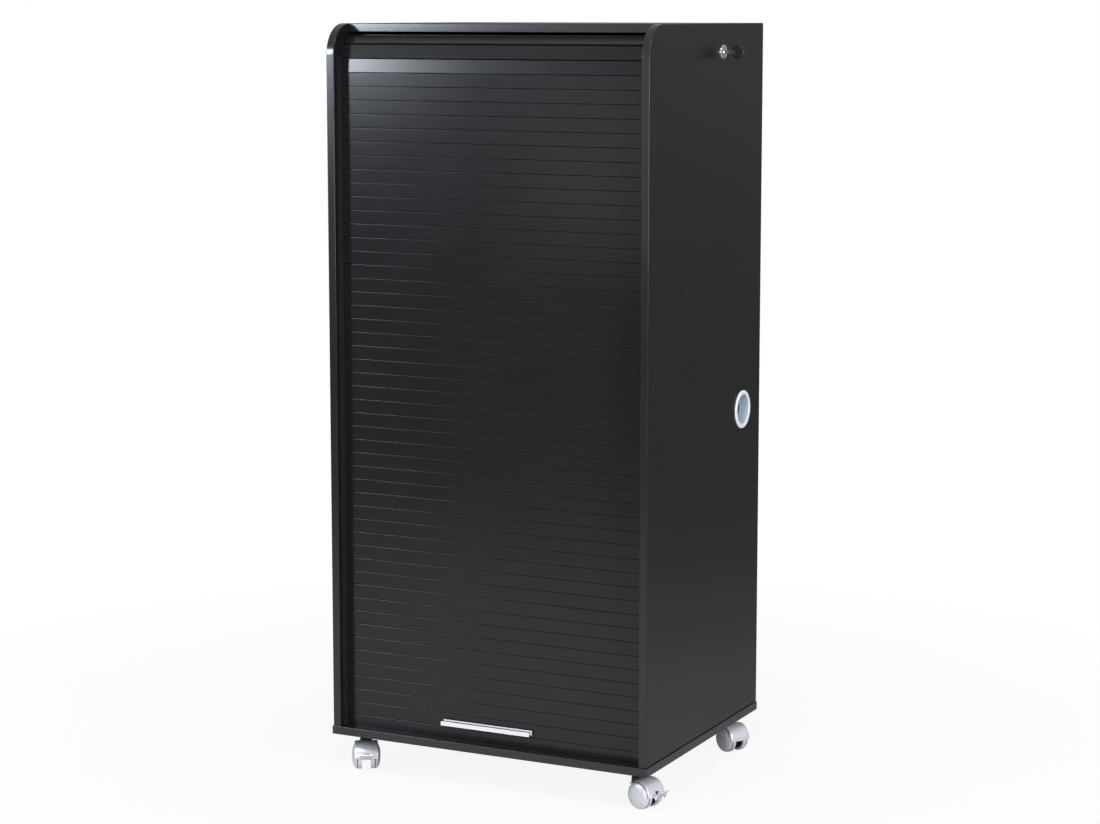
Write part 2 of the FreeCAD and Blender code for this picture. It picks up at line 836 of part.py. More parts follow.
# Handle: flange, ledge and hanging lip in one extrusion
lip_front = shutter_face - S.handle_reach
handle = padded("handle_extrusion", "YZ_Plane", [
    (shutter_face, handle_top - S.handle_flange_height),
    (shutter_face, handle_top),
    (lip_front, handle_top),
    (lip_front, handle_top - S.handle_lip_height),
    (lip_front + S.handle_wall, handle_top - S.handle_lip_height),
    (lip_front + S.handle_wall, handle_top - S.handle_wall),
    (shutter_face - S.handle_wall, handle_top - S.handle_wall),
    (shutter_face - S.handle_wall, handle_top - S.handle_flange_height),
], S.handle_length)
place(handle, handle_x)
node(cut("shutter_handle", handle, handle_bores("handle")), "shutter_handle")
handle_screws = []
for i, x in enumerate(screw_xs):
    length = S.batten_thickness + S.slat_thickness + S.handle_wall
    shank = fastener(f"handle_screw_shank_{i}", S.handle_screw_radius, length,
                     (x, batten_rear - length, handle_screw_z), *ALONG_Y)
    head = fastener(f"handle_screw_head_{i}", S.handle_screw_head_radius, S.handle_screw_head,
                    (x, batten_rear, handle_screw_z), *ALONG_Y)
    handle_screws.append(fuse(f"handle_screw_{i}", [shank, head]))
node(group("handle_screws", handle_screws), "handle_screws")

# Cable grommet: a flanged sleeve through the right panel
grommet_at = side_outer - S.grommet_tube_length
grommet_blank = fuse("grommet_blank", [
    prism("grommet_tube", ROUND_SIDES, S.grommet_tube_radius, S.grommet_tube_length,
          (grommet_at, grommet_y, grommet_z), *ALONG_X),
    prism("grommet_flange", ROUND_SIDES, S.grommet_radius, S.grommet_flange,
          (side_outer, grommet_y, grommet_z), *ALONG_X),
])
grommet_bore = rod("grommet_bore", S.grommet_bore_radius, S.grommet_tube_length + S.grommet_flange + S.overrun * 2,
                   (grommet_at - S.overrun, grommet_y, grommet_z), *ALONG_X)
node(cut("cable_grommet", grommet_blank, [grommet_bore]), "cable_grommet")

# Lock: housing, nut, turning plug with its cam, and the strike that the cam holds
lock_inner = side_outer - S.lock_barrel_length
housing_blank = fuse("housing_blank", [
    prism("lock_barrel", ROUND_SIDES, S.lock_barrel_radius, S.lock_barrel_length,
          (lock_inner, lock_y, lock_z), *ALONG_X),
    prism("lock_head", ROUND_SIDES, S.lock_head_radius, S.lock_head_height,
          (side_outer, lock_y, lock_z), *ALONG_X),
])
plug_bore = rod("plug_bore", S.lock_plug_radius + S.running_gap,
                S.lock_barrel_length + S.lock_head_height + S.overrun * 2,
                (lock_inner - S.overrun, lock_y, lock_z), *ALONG_X)
node(cut("lock_housing", housing_blank, [plug_bore]), "lock_housing")

nut_radius = S.lock_nut_flat / (2 * math.cos(math.pi / 6))
nut_corners = []
for i in range(6):
    angle = math.pi / 3 * i
    nut_corners.append((nut_radius * math.cos(angle), nut_radius * math.sin(angle)))
nut = padded("lock_nut", "YZ_Plane", nut_corners, S.lock_nut_thickness, midplane=False, backwards=True)
nut_bore = sketch_on(nut, "lock_nut_bore", "YZ_Plane")
flat_sided(nut_bore, ZERO, ZERO, S.lock_barrel_radius, ROUND_SIDES, 0.0)
pocket(nut, nut_bore, S.lock_nut_thickness + S.overrun)
place(nut, side_inner, lock_y, lock_z)
node(nut, "lock_nut")

plug_front = side_outer + S.lock_head_height + S.lock_plug_proud
plug_rear = lock_inner - S.lock_plug_behind
plug_blank = rod("plug_blank", S.lock_plug_radius, plug_front - plug_rear, (plug_rear, lock_y, lock_z), *ALONG_X)
half_slot_y, half_slot_z = S.key_thickness / 2, S.key_blade_width / 2
key_slot = box("key_slot", (plug_front - S.key_slot_depth, lock_y - half_slot_y, lock_z - half_slot_z),
               (plug_front + S.overrun, lock_y + half_slot_y, lock_z + half_slot_z))
cam_screw_bore = fastener("cam_screw_bore", S.cam_screw_shank_radius, S.cam_screw_length,
                          (plug_rear - S.overrun, lock_y, lock_z), *ALONG_X)
node(cut("lock_plug", plug_blank, [key_slot, cam_screw_bore]), "lock_plug")

half_cam = S.cam_width / 2
cam = padded("cam_plate", "YZ_Plane", [
    (ZERO, -half_cam),
    (S.cam_reach, -half_cam),
    (S.cam_reach, half_cam),
    (ZERO, half_cam, half_cam, False),
], S.cam_plate, midplane=False, backwards=True)
cam_bore = sketch_on(cam, "cam_plate_bore", "YZ_Plane")
fastener_bore(cam_bore, ZERO, ZERO, S.cam_screw_shank_radius, math.pi / 2)
pocket(cam, cam_bore, S.cam_plate + S.overrun)
place(cam, plug_rear, lock_y, lock_z)
node(cam, "lock_cam")

cam_rear = plug_rear - S.cam_plate
cam_screw = fuse("cam_screw", [
    fastener("cam_screw_head_blank", S.cam_screw_radius, S.cam_screw_head,
             (cam_rear - S.cam_screw_head, lock_y, lock_z), *ALONG_X),
    fastener("cam_screw_shank_blank", S.cam_screw_shank_radius, S.cam_screw_length - S.overrun + S.cam_plate,
             (cam_rear, lock_y, lock_z), *ALONG_X),
])
node(cam_screw, "cam_screw")

strike_x = plug_rear - S.cam_plate / 2
tail_under = run_top - S.slat_thickness / 2 - S.canvas_thickness
half_strike = S.strike_width / 2
hanging = box("strike_hanging", (strike_x - half_strike, strike_y, tail_under - S.strike_drop),
              (strike_x + half_strike, strike_y + S.strike_plate, tail_under))
foot = box("strike_foot",
           (strike_x - half_strike, strike_y + S.strike_plate - S.strike_foot, tail_under - S.strike_plate),
           (strike_x + half_strike, strike_y + S.strike_plate, tail_under))
node(fuse("lock_strike", [hanging, foot]), "lock_strike")

# Key: a steel blade, and the round moulded head on its outer end
half_key = S.key_thickness / 2
blade_start = plug_front - S.key_blade_inside
head_x = plug_front + S.key_neck + S.key_head_radius


def key_blade_box(name):
    return box(name, (blade_start, lock_y - half_key, lock_z - S.key_blade_width / 2),
               (head_x, lock_y + half_key, lock_z + S.key_blade_width / 2))


node(key_blade_box("key_blade"), "key_blade")
half_head = S.key_head_thickness / 2
head_blank = prism("key_head_blank", ROUND_SIDES, S.key_head_radius, S.key_head_thickness,
                   (head_x, lock_y - half_head, lock_z), *ALONG_Y)
node(cut("key_head", head_blank, [key_blade_box("key_head_socket")]), "key_head")


# Casters
def cornered_square(side, corner):
    """A square with its corners cut off."""
    half, flat = side / 2, side / 2 - corner
    return [(flat, -half), (half, -flat), (half, flat), (flat, half), (-flat, half), (-half, flat), (-half, -flat),
            (-flat, -half)]


plate_under = S.base_height - S.caster_plate
cup_bottom = S.hood_top_height + S.swivel_gap
plates, stems = [], []
for corner, (side_x, side_y) in CASTER_SIDES.items():
    plate = padded(f"plate_{corner}", "XY_Plane", cornered_square(S.caster_plate_side, S.caster_plate_corner),
                   S.caster_plate, midplane=False)
    place(plate, caster_x * side_x, caster_y * side_y, plate_under)
    shank = rod(f"stem_shank_{corner}", S.stem_radius, plate_under - S.stem_bottom_height,
                (ZERO, ZERO, S.stem_bottom_height))
    cup = prism(f"stem_cup_{corner}", ROUND_SIDES, S.cup_radius, plate_under - cup_bottom,
                (ZERO, ZERO, cup_bottom))
    stem = fuse(f"stem_{corner}", [shank, cup])
    place(stem, caster_x * side_x, caster_y * side_y)
    plates.append(plate)
    stems.append(stem)

plate_bores = [
    fastener(f"plate_bore_{i}", S.caster_screw_radius, S.caster_plate + S.overrun * 2,
             (x, y, plate_under - S.overrun))
    for i, (x, y) in enumerate(caster_screw_places())
]
plates = [cut(f"{plate.Name}_bored", plate, plate_bores[4 * i:4 * i + 4]) for i, plate in enumerate(plates)]
node(group("caster_plates", plates), "caster_plates")
node(group("caster_stems", stems), "caster_stems")

caster_screws = []
for i, (x, y) in enumerate(caster_screw_places()):
    head = fastener(f"caster_screw_head_{i}", S.caster_screw_head_radius, S.caster_screw_head,
                    (x, y, plate_under - S.caster_screw_head))
    shank = fastener(f"caster_screw_shank_{i}", S.caster_screw_radius, S.caster_screw_length, (x, y, plate_under))
    caster_screws.append(fuse(f"caster_screw_{i}", [head, shank]))
node(group("caster_screws", caster_screws), "caster_screws")

hood_inner = S.wheel_radius + S.hood_gap
hood_outer = hood_inner + S.hood_wall
stem_room_low = S.stem_bottom_height - S.swivel_gap
bore_end = S.axle_length / 2 + S.axle_end_gap
axle_z = S.wheel_radius
lever_x = S.wheel_trail + S.lever_pivot_forward
lever_z = axle_z + S.lever_pivot_above_axle


def hood(name, braked):
    """The hood in the caster's own frame: swivel axis on Z, wheels ahead of it along +X."""
    centre_x, half, web = S.wheel_trail, S.hood_half_width, S.hood_web_half
    shell = prism(f"{name}_shell", ROUND_SIDES, hood_outer, half * 2, (centre_x, -half, axle_z), *ALONG_Y)
    below = box(f"{name}_below", (centre_x - hood_outer - S.overrun, -half - S.overrun, -hood_outer),
                (centre_x + hood_outer + S.overrun, half + S.overrun, axle_z))
    foot = prism(f"{name}_foot", ROUND_SIDES, S.hood_foot_radius, web * 2, (centre_x, -web, axle_z), *ALONG_Y)
    boss = prism(f"{name}_boss", ROUND_SIDES, S.hood_boss_radius, S.hood_top_height - axle_z, (ZERO, ZERO, axle_z))
    body = fuse(f"{name}_body", [cut(f"{name}_upper", shell, [below]), foot, boss])
    well = half - web + S.overrun
    tools = [
        prism(f"{name}_well_left", ROUND_SIDES, hood_inner, well, (centre_x, web, axle_z), *ALONG_Y),
        prism(f"{name}_well_right", ROUND_SIDES, hood_inner, well, (centre_x, -web - well, axle_z), *ALONG_Y),
        rod(f"{name}_stem_bore", S.stem_radius + S.running_gap, S.hood_top_height - stem_room_low + S.overrun,
            (ZERO, ZERO, stem_room_low)),
        rod(f"{name}_axle_bore", S.axle_radius, (web + S.overrun) * 2,
            (centre_x, -web - S.overrun, axle_z), *ALONG_Y),
    ]
    if braked:
        eye = S.lever_eye_radius + S.lever_slot_gap
        slot = S.lever_arm_width / 2 + S.lever_slot_gap
        tools.append(box(f"{name}_lever_slot", (lever_x - eye, -slot, axle_z - S.hood_foot_radius),
                         (centre_x + hood_outer + S.overrun, slot, lever_z + eye)))
        tools.append(rod(f"{name}_pin_bore", S.lever_pin_radius, (web + S.overrun) * 2,
                         (lever_x, -web - S.overrun, lever_z), *ALONG_Y))
    return cut(name, body, tools)


def wheel(name):
    """A wheel on the Y axis: a rim with a sloped shoulder and a raised cap over a blind bore for the axle."""
    inner = S.wheel_inner_face
    body = doc.addObject("PartDesign::Body", f"{name}_rim")
    disc = body.newObject("PartDesign::AdditivePrism", f"{name}_disc")
    disc.Polygon = ROUND_SIDES
    for side, value in (("Circumradius", S.wheel_radius), ("Height", S.wheel_rim_face - inner)):
        setattr(disc, side, value.number)
        disc.setExpression(side, value.text)
    doc.recompute()
    outer_edges = [
        f"Edge{i}" for i, edge in enumerate(disc.Shape.Edges, start=1)
        if all(corner.Z > (disc.Height / 2).Value for corner in edge.Vertexes)
    ]
    shoulder = body.newObject("PartDesign::Chamfer", f"{name}_shoulder")
    shoulder.Base = (disc, outer_edges)
    shoulder.Size = S.wheel_shoulder.number
    shoulder.setExpression("Size", S.wheel_shoulder.text)
    place(body, ZERO, inner, ZERO, *ALONG_Y)
    cap = prism(f"{name}_cap", ROUND_SIDES, S.wheel_cap_radius, S.wheel_cap_face - S.wheel_rim_face,
                (ZERO, S.wheel_rim_face, ZERO), *ALONG_Y)
    bore = rod(f"{name}_bore", S.axle_radius + S.running_gap, bore_end - inner + S.overrun,
               (ZERO, inner - S.overrun, ZERO), *ALONG_Y)
    return cut(name, fuse(f"{name}_blank", [body, cap]), [bore])


def lever(name):
    """The brake lever: an eye and arm in the hood's slot, and a paddle outside it."""
    eye = S.lever_eye_radius
    root_x = S.wheel_trail + S.lever_root_forward
    root_z = axle_z + S.lever_root_above_axle
    tip_x = S.wheel_trail + S.lever_tip_forward
    tip_z = axle_z + S.lever_tip_above_axle
    slope = math.atan2((tip_z - root_z).number, (tip_x - root_x).number)
    down_x, down_z = S.lever_paddle_thickness * math.sin(slope), S.lever_paddle_thickness * math.cos(slope)
    arm = padded(f"{name}_arm", "XZ_Plane", [
        (lever_x, lever_z - eye, eye, True),
        (lever_x, lever_z + eye),
        (root_x, root_z),
        (root_x + down_x, root_z - down_z),
    ], S.lever_arm_width)
    paddle = padded(f"{name}_paddle", "XZ_Plane", [
        (root_x, root_z),
        (tip_x, tip_z),
        (tip_x + down_x, tip_z - down_z),
        (root_x + down_x, root_z - down_z),
    ], S.lever_paddle_width)
    pin_bore = rod(f"{name}_bore", S.lever_pin_radius + S.running_gap, S.lever_paddle_width,
                   (lever_x, -S.lever_paddle_width / 2, lever_z), *ALONG_Y)
    return cut(name, fuse(f"{name}_blank", [arm, paddle]), [pin_bore])


def stand(item, corner, forward=ZERO, across=ZERO, height=ZERO, turn=0.0):
    """Puts a piece made in a caster's own frame at its corner, turned with the caster."""
    side_x, side_y = CASTER_SIDES[corner]
    angle = math.radians(WHEEL_TURNS[corner])
    x = caster_x * side_x + forward * math.cos(angle) - across * math.sin(angle)
    y = caster_y * side_y + forward * math.sin(angle) + across * math.cos(angle)
    return place(item, x, y, height, (0, 0, 1), WHEEL_TURNS[corner] + turn)


for corner, (side_x, side_y) in CASTER_SIDES.items():
    braked = side_y < 0
    node(stand(hood(f"hood_{corner}", braked), corner), f"hood_{corner}")
    axle_blank = rod(f"axle_blank_{corner}", S.axle_radius, S.axle_length,
                     (S.wheel_trail, -S.axle_length / 2, axle_z), *ALONG_Y)
    node(stand(group(f"axle_{corner}", [axle_blank]), corner), f"axle_{corner}")
    for letter, turn in (("a", 0.0), ("b", 180.0)):
        node(stand(wheel(f"wheel_{corner}_{letter}"), corner, S.wheel_trail, ZERO, axle_z, turn),
             f"wheel_{corner}_{letter}")
    if braked:
        node(stand(lever(f"brake_lever_{corner}"), corner), f"brake_lever_{corner}")
        pin_blank = rod(f"pin_blank_{corner}", S.lever_pin_radius, S.hood_web_half * 2,
                        (lever_x, -S.hood_web_half, lever_z), *ALONG_Y)
        node(stand(group(f"brake_pin_{corner}", [pin_blank]), corner), f"brake_pin_{corner}")

# Every object is checked, then each sub-part is written out
doc.recompute()
for item in doc.Objects:
    if "Invalid" in item.State or "Error" in item.State:
        raise RuntimeError(f"{item.Name} failed: {item.State}")
for item in nodes:
    if item.Shape.isNull() or not item.Shape.isValid() or not item.Shape.Solids:
        raise RuntimeError(f"{item.Label} has no valid solid")

os.makedirs("parts", exist_ok=True)
for item in nodes:
    item.Shape.exportStep(os.path.join("parts", f"{item.Label}.step"))
print(len(nodes), "sub-parts,", slat_count, "front slats,", len(top_slats), "bent and top slats")
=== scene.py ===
"""Looks of a tall computer cabinet with a full-height roll shutter, on braked twin-wheel casters."""
import json
import math
import random
from contextlib import contextmanager

import bmesh
import bpy
from mathutils import Matrix, Vector

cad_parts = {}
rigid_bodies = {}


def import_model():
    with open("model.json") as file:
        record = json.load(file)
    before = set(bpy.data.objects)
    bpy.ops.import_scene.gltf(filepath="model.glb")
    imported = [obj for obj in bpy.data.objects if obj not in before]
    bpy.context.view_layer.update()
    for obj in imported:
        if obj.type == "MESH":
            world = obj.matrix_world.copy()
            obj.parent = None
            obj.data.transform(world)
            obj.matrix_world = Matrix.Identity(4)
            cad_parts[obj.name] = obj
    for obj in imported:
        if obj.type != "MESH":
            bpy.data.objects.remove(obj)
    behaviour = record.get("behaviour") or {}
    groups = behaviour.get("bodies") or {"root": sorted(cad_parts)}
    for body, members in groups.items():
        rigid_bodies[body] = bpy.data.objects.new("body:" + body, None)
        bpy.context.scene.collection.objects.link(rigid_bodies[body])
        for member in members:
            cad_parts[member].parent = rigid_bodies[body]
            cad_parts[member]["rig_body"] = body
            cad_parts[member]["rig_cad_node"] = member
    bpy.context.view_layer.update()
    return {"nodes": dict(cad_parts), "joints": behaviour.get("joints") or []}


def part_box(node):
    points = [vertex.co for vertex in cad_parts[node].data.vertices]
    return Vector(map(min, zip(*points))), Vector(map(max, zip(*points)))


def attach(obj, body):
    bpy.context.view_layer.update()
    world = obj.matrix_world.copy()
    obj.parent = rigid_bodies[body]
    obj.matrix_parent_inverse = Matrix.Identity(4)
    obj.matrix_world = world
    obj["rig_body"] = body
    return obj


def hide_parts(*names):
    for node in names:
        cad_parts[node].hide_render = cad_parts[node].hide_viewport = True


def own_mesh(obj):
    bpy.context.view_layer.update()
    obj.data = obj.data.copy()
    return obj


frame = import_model()

MM = 0.001

# Sizes that the frame does not hold, in millimetres unless the line says otherwise

# Boards and slats
CORNER_RADIUS = 58  # of the side panels' rounded corner
BOARD_EDGE_EASE = 1.2
BOARD_EASE_STEPS = 3
SLAT_UPPER_EASE = 0.9
SLAT_LOWER_EASE = 0.25
SLAT_SHORTER = 0.55  # than the frame's slat, at its lower edge, for the shadow line between two slats
SLAT_END_EASE = 0.3
SLAT_TILT_SPREAD = 0.1  # degrees either way
TOP_SLAT_LEAN = 3.5  # degrees that the canvas pulls the last straight slat back into the bend
RAIL_GAP = 0.2  # between the bottom rail's face and the slat above it
RAIL_PLAY = 6  # of the batten inside each track
CANVAS_THICK = 0.4
CANVAS_SAG = 0.1  # between two slats
CANVAS_LOOSE = 1.5  # at each long edge of a slat, where the glue ends
CANVAS_GLUE = 0.05
CANVAS_PANELS = 6  # across the canvas

# Side fittings
OUTLET_RIM = 8.5  # of the cable outlet's flange, from its edge to the bore
OUTLET_WALL = 1.5
OUTLET_WHITE_END = 2  # of the bore's inner end, as white as the flange
LOCK_BORE = 6.05
LOCK_BARREL = 9
KEY_CUTS = (1.6, 0.9, 2.0, 1.2)  # depths of the cuts in the blade
KEY_CUT_PITCH = 2.2
KEY_CUT_WIDTH = 1.2
KEY_RIM = 4.2  # of the key's head, round its dished middle
KEY_DISH = 0.9  # deep

# Pull handle
HANDLE_WALL = 1.6
HANDLE_TOP_DROP = 2.8  # of the flange's top below the frame's handle
HANDLE_HEIGHT = 9.0
HANDLE_LEDGE_DROP = 2.2  # of the ledge below the flange's top
HANDLE_LIP_DROP = 0.9  # of the lip's top below the flange's

# Casters: distances on the wheel are from the middle plane between the two wheels
TRAIL = 18  # of the axle ahead of the swivel axis
AXLE_HEIGHT = 26
WHEEL_RADIUS = 26
WHEEL_INNER = 9
WHEEL_TREAD_EDGE = 16.5
WHEEL_OUTER = 27.3
WHEEL_DOME_POWER = 2.3  # of the rounded outer face: 2 is an ellipse, more is squarer
AXLE_BORE = 3.1
HOOD_INNER = 26.8
HOOD_OUTER = 29
HOOD_HALF = 22.6  # of its width
HOOD_REAR_SHARE = 0.36  # of the hood's radius: how far behind and above the axle its slanted rear edge runs
HOOD_WEB_HALF = 8.5  # of the width of the web between the wheels
LEVER_ROOT = (31, 1.5)  # of the brake's paddle, ahead of the axle and above it
LEVER_TIP = (46, 14)
LEVER_THICK = 2.5
LEVER_HALF = 13  # of its width
BRAKE_PIN = (38, 29)  # ahead of the swivel axis and above the floor
PLATE_UNDER = 69.5
PLATE_TOP = 72
PLATE_HALF = 21
PLATE_CORNER = 5
CASTER_CORNERS = ("front_left", "front_right", "rear_left", "rear_right")
BRAKED_CORNERS = ("front_left", "front_right")


# Modelling helpers

def only(piece):
    """Leaves this piece alone selected and active."""
    bpy.ops.object.select_all(action="DESELECT")
    piece.select_set(True)
    bpy.context.view_layer.objects.active = piece


def added(name, operator, **settings):
    """Adds a primitive and names it."""
    bpy.ops.object.select_all(action="DESELECT")
    operator(**settings)
    piece = bpy.context.active_object
    piece.name = piece.data.name = name
    return piece


@contextmanager
def editing(piece, kind="EDGE"):
    """Edit mode on one piece, with nothing selected at the start."""
    only(piece)
    bpy.ops.object.mode_set(mode="EDIT")
    bpy.ops.mesh.select_mode(type=kind)
    bpy.ops.mesh.select_all(action="DESELECT")
    yield
    bpy.ops.object.mode_set(mode="OBJECT")


def choose(piece, kind, test):
    """In edit mode, selects the verts, edges or faces that pass a test, and returns how many they are."""
    bpy.ops.mesh.select_mode(type={"verts": "VERT", "edges": "EDGE", "faces": "FACE"}[kind])
    bpy.ops.mesh.select_all(action="DESELECT")
    mesh = bmesh.from_edit_mesh(piece.data)
    chosen = [item for item in getattr(mesh, kind) if test(item)]
    for item in chosen:
        item.select_set(True)
    mesh.select_flush_mode()
    bmesh.update_edit_mesh(piece.data)
    return len(chosen)


def middle(item):
    """The middle of an edge or face."""
    corners = item.verts
    return sum((corner.co for corner in corners), Vector()) / len(corners)


def sharp(edge):
    """Whether two faces meet at an edge, at more than 30 degrees."""
    return len(edge.link_faces) == 2 and edge.calc_face_angle(0) > math.radians(30)


def ease(piece, width, segments=2, test=None):
    """Rounds the sharp edges that pass the test."""
    with editing(piece):
        if choose(piece, "edges", lambda edge: sharp(edge) and (test is None or test(edge))):
            bpy.ops.mesh.bevel(offset=width, segments=segments, profile=0.5, affect="EDGES",
                               clamp_overlap=True)
    return piece


def smooth(piece, angle=35):
    """Smooth shading that leaves broad flat faces flat right up to their rounded edges."""
    only(piece)
    bpy.ops.object.shade_smooth_by_angle(angle=math.radians(angle), keep_sharp_edges=False)
    piece.modifiers.new("flat_faces", "WEIGHTED_NORMAL").keep_sharp = True
    bpy.ops.object.modifier_apply(modifier="flat_faces")
    return piece


def settle(piece):
    """Puts the object's place into its mesh."""
    only(piece)
    bpy.ops.object.transform_apply(location=True, rotation=True, scale=True)
    return piece


def block(name, low, high):
    """A cube stretched between two corners."""
    low, high = Vector(low), Vector(high)
    piece = added(name, bpy.ops.mesh.primitive_cube_add, size=1, location=(low + high) / 2)
    piece.scale = high - low
    return settle(piece)


def facing_out(piece):
    """Turns every face's normal outwards."""
    with editing(piece):
        bpy.ops.mesh.select_all(action="SELECT")
        bpy.ops.mesh.normals_make_consistent(inside=False)
    return piece


def tube(name, radius, half, centre, sides):
    """A cylinder that reaches half its width either way along Y from its centre."""
    piece = added(name, bpy.ops.mesh.primitive_cylinder_add, vertices=sides, radius=radius, depth=2 * half)
    piece.rotation_euler = (-math.pi / 2, 0, 0)
    piece.location = centre
    return settle(piece)


def spun(name, outline, turn=math.tau, steps=48, closed=False):
    """A wire drawn through (radius, height) points and spun round Z; a part turn gets its end faces."""
    piece = added(name, bpy.ops.mesh.primitive_plane_add, size=MM)
    with editing(piece, "VERT"):
        bpy.ops.mesh.select_all(action="SELECT")
        bpy.ops.mesh.merge(type="CENTER")
        radius, height = outline[0]
        bpy.ops.transform.translate(value=(radius, 0, height))
        for (r0, h0), (r1, h1) in zip(outline, outline[1:] + (outline[:1] if closed else [])):
            bpy.ops.mesh.extrude_region_move(TRANSFORM_OT_translate={"value": (r1 - r0, 0, h1 - h0)})
        bpy.ops.mesh.select_all(action="SELECT")
        bpy.ops.mesh.remove_doubles(threshold=MM / 1000)
        bpy.ops.mesh.spin(steps=steps, angle=turn, center=(0, 0, 0), axis=(0, 0, 1))
        bpy.ops.mesh.select_all(action="SELECT")
        bpy.ops.mesh.remove_doubles(threshold=MM / 1000)
        if turn < math.tau:
            bpy.ops.mesh.fill_holes(sides=0)
        bpy.ops.mesh.select_all(action="SELECT")
        bpy.ops.mesh.normals_make_consistent(inside=False)
    return piece


def moved(piece, matrix):
    """Puts a turn and a shift into the mesh."""
    piece.data.transform(matrix)
    piece.data.update()
    return piece


def copied(piece, name, matrix=None):
    """A copy with its own mesh."""
    twin = piece.copy()
    twin.data = piece.data.copy()
    twin.name = twin.data.name = name
    bpy.context.scene.collection.objects.link(twin)
    if matrix is not None:
        moved(twin, matrix)
    return twin


def joined(name, pieces):
    """Several pieces made one."""
    only(pieces[0])
    for piece in pieces[1:]:
        piece.select_set(True)
    bpy.ops.object.join()
    pieces[0].name = pieces[0].data.name = name
    return pieces[0]


def carved(piece, tools):
    """Takes the tools out of the piece and removes them."""
    for tool in tools:
        only(piece)
        cut = piece.modifiers.new("cut", "BOOLEAN")
        cut.operation = "DIFFERENCE"
        cut.object = tool
        cut.solver = "EXACT"
        bpy.ops.object.modifier_apply(modifier="cut")
        bpy.data.objects.remove(tool)
    return piece


def merged_copy(node):
    """A copy of a CAD node with its loose triangles merged into whole faces."""
    piece = copied(frame["nodes"][node], f"{node}_shown")
    piece.parent = None
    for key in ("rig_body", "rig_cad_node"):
        if key in piece:
            del piece[key]
    with editing(piece, "FACE"):
        bpy.ops.mesh.select_all(action="SELECT")
        bpy.ops.mesh.remove_doubles(threshold=MM / 100)
        bpy.ops.mesh.customdata_custom_splitnormals_clear()
        bpy.ops.mesh.dissolve_limited(angle_limit=math.radians(1))
    return piece


def painted(piece, finish, second=None, test=None):
    """Gives a piece its finish, and a second one to the faces whose middle passes the test."""
    piece.data.materials.clear()
    piece.data.materials.append(finish)
    if second is not None:
        piece.data.materials.append(second)
        for face in piece.data.polygons:
            face.material_index = int(test(face))
    return piece


def shown(piece, body, slot, *nodes):
    """Gives a painted piece its body, and hides the CAD nodes that it stands for; the slot is not used."""
    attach(piece, body)
    if nodes:
        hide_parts(*nodes)
    return piece


def repainted(node, finish):
    """Keeps a CAD node's shape and gives it a better finish."""
    painted(frame["nodes"][node], finish)


# Finishes

class Signal:
    """A value that changes over a surface, with Python's arithmetic."""

    def __init__(self, network, socket):
        self.network = network
        self.socket = socket

    def math(self, operation, first, second):
        """A math node on two signals or numbers."""
        return self.network.node("ShaderNodeMath", {"operation": operation}, {0: first, 1: second})

    def __add__(self, other):
        return self.math("ADD", self, other)

    def __sub__(self, other):
        return self.math("SUBTRACT", self, other)

    def __rsub__(self, other):
        return self.math("SUBTRACT", other, self)

    def __mul__(self, other):
        return self.math("MULTIPLY", self, other)

    __radd__ = __add__
    __rmul__ = __mul__


class Network:
    """The nodes of a material or of the world, from nothing to its output."""

    def __init__(self, owner, output):
        owner.use_nodes = True
        self.tree = owner.node_tree
        self.tree.nodes.clear()
        self.output = self.tree.nodes.new(output)

    def feed(self, socket, value):
        """Links a signal to a socket, or sets a plain value on it."""
        if isinstance(value, Signal):
            self.tree.links.new(value.socket, socket)
        elif isinstance(value, tuple) and len(value) == 3 and socket.type == "RGBA":
            socket.default_value = (*value, 1)
        else:
            socket.default_value = value

    def show(self, surface):
        """Makes this the surface that the output shows."""
        self.feed(self.output.inputs["Surface"], surface)

    def node(self, kind, settings, sockets, output=0):
        """Adds a node: its settings or colour stops first, then the values or links of its sockets."""
        made = self.tree.nodes.new(kind)
        for name, value in settings.items():
            if name == "stops":
                stops = made.color_ramp.elements
                while len(stops) < len(value):
                    stops.new(0.5)
                for stop, (position, colour) in zip(stops, value):
                    stop.position = position
                    stop.color = (*colour, 1)
            else:
                setattr(made, name, value)
        for name, value in sockets.items():
            self.feed(made.inputs[name], value)
        return Signal(self, made.outputs[output])

    def place(self, stretch=(1, 1, 1), shift=(0, 0, 0)):
        """Object coordinates, stretched or shifted."""
        spot = self.node("ShaderNodeTexCoord", {}, {}, "Object")
        return self.node("ShaderNodeMapping", {}, {"Vector": spot, "Scale": stretch, "Location": shift})

    def length(self, vector):
        """How long a vector signal is."""
        return self.node("ShaderNodeVectorMath", {"operation": "LENGTH"}, {0: vector}, "Value")

    def noise(self, per_metre, detail, stretch=(1, 1, 1)):
        """Cloudy noise with a number of spots to the metre."""
        sockets = {"Vector": self.place(stretch), "Scale": per_metre, "Detail": detail}
        return self.node("ShaderNodeTexNoise", {}, sockets, "Fac")

    def between(self, signal, low, high):
        """The signal's span from low to high laid on nought to one."""
        return self.node("ShaderNodeMapRange", {"clamp": True},
                         {"Value": signal, "From Min": low, "From Max": high})

    def tint(self, mask, first, second):
        """One colour passing into another where the mask says."""
        return self.node("ShaderNodeMix", {"data_type": "RGBA"}, {0: mask, 6: first, 7: second}, 2)

    def relief(self, height, depth, strength):
        """A bump of a given depth in millimetres."""
        sockets = {"Height": height, "Distance": depth * MM, "Strength": strength}
        return self.node("ShaderNodeBump", {}, sockets, "Normal")


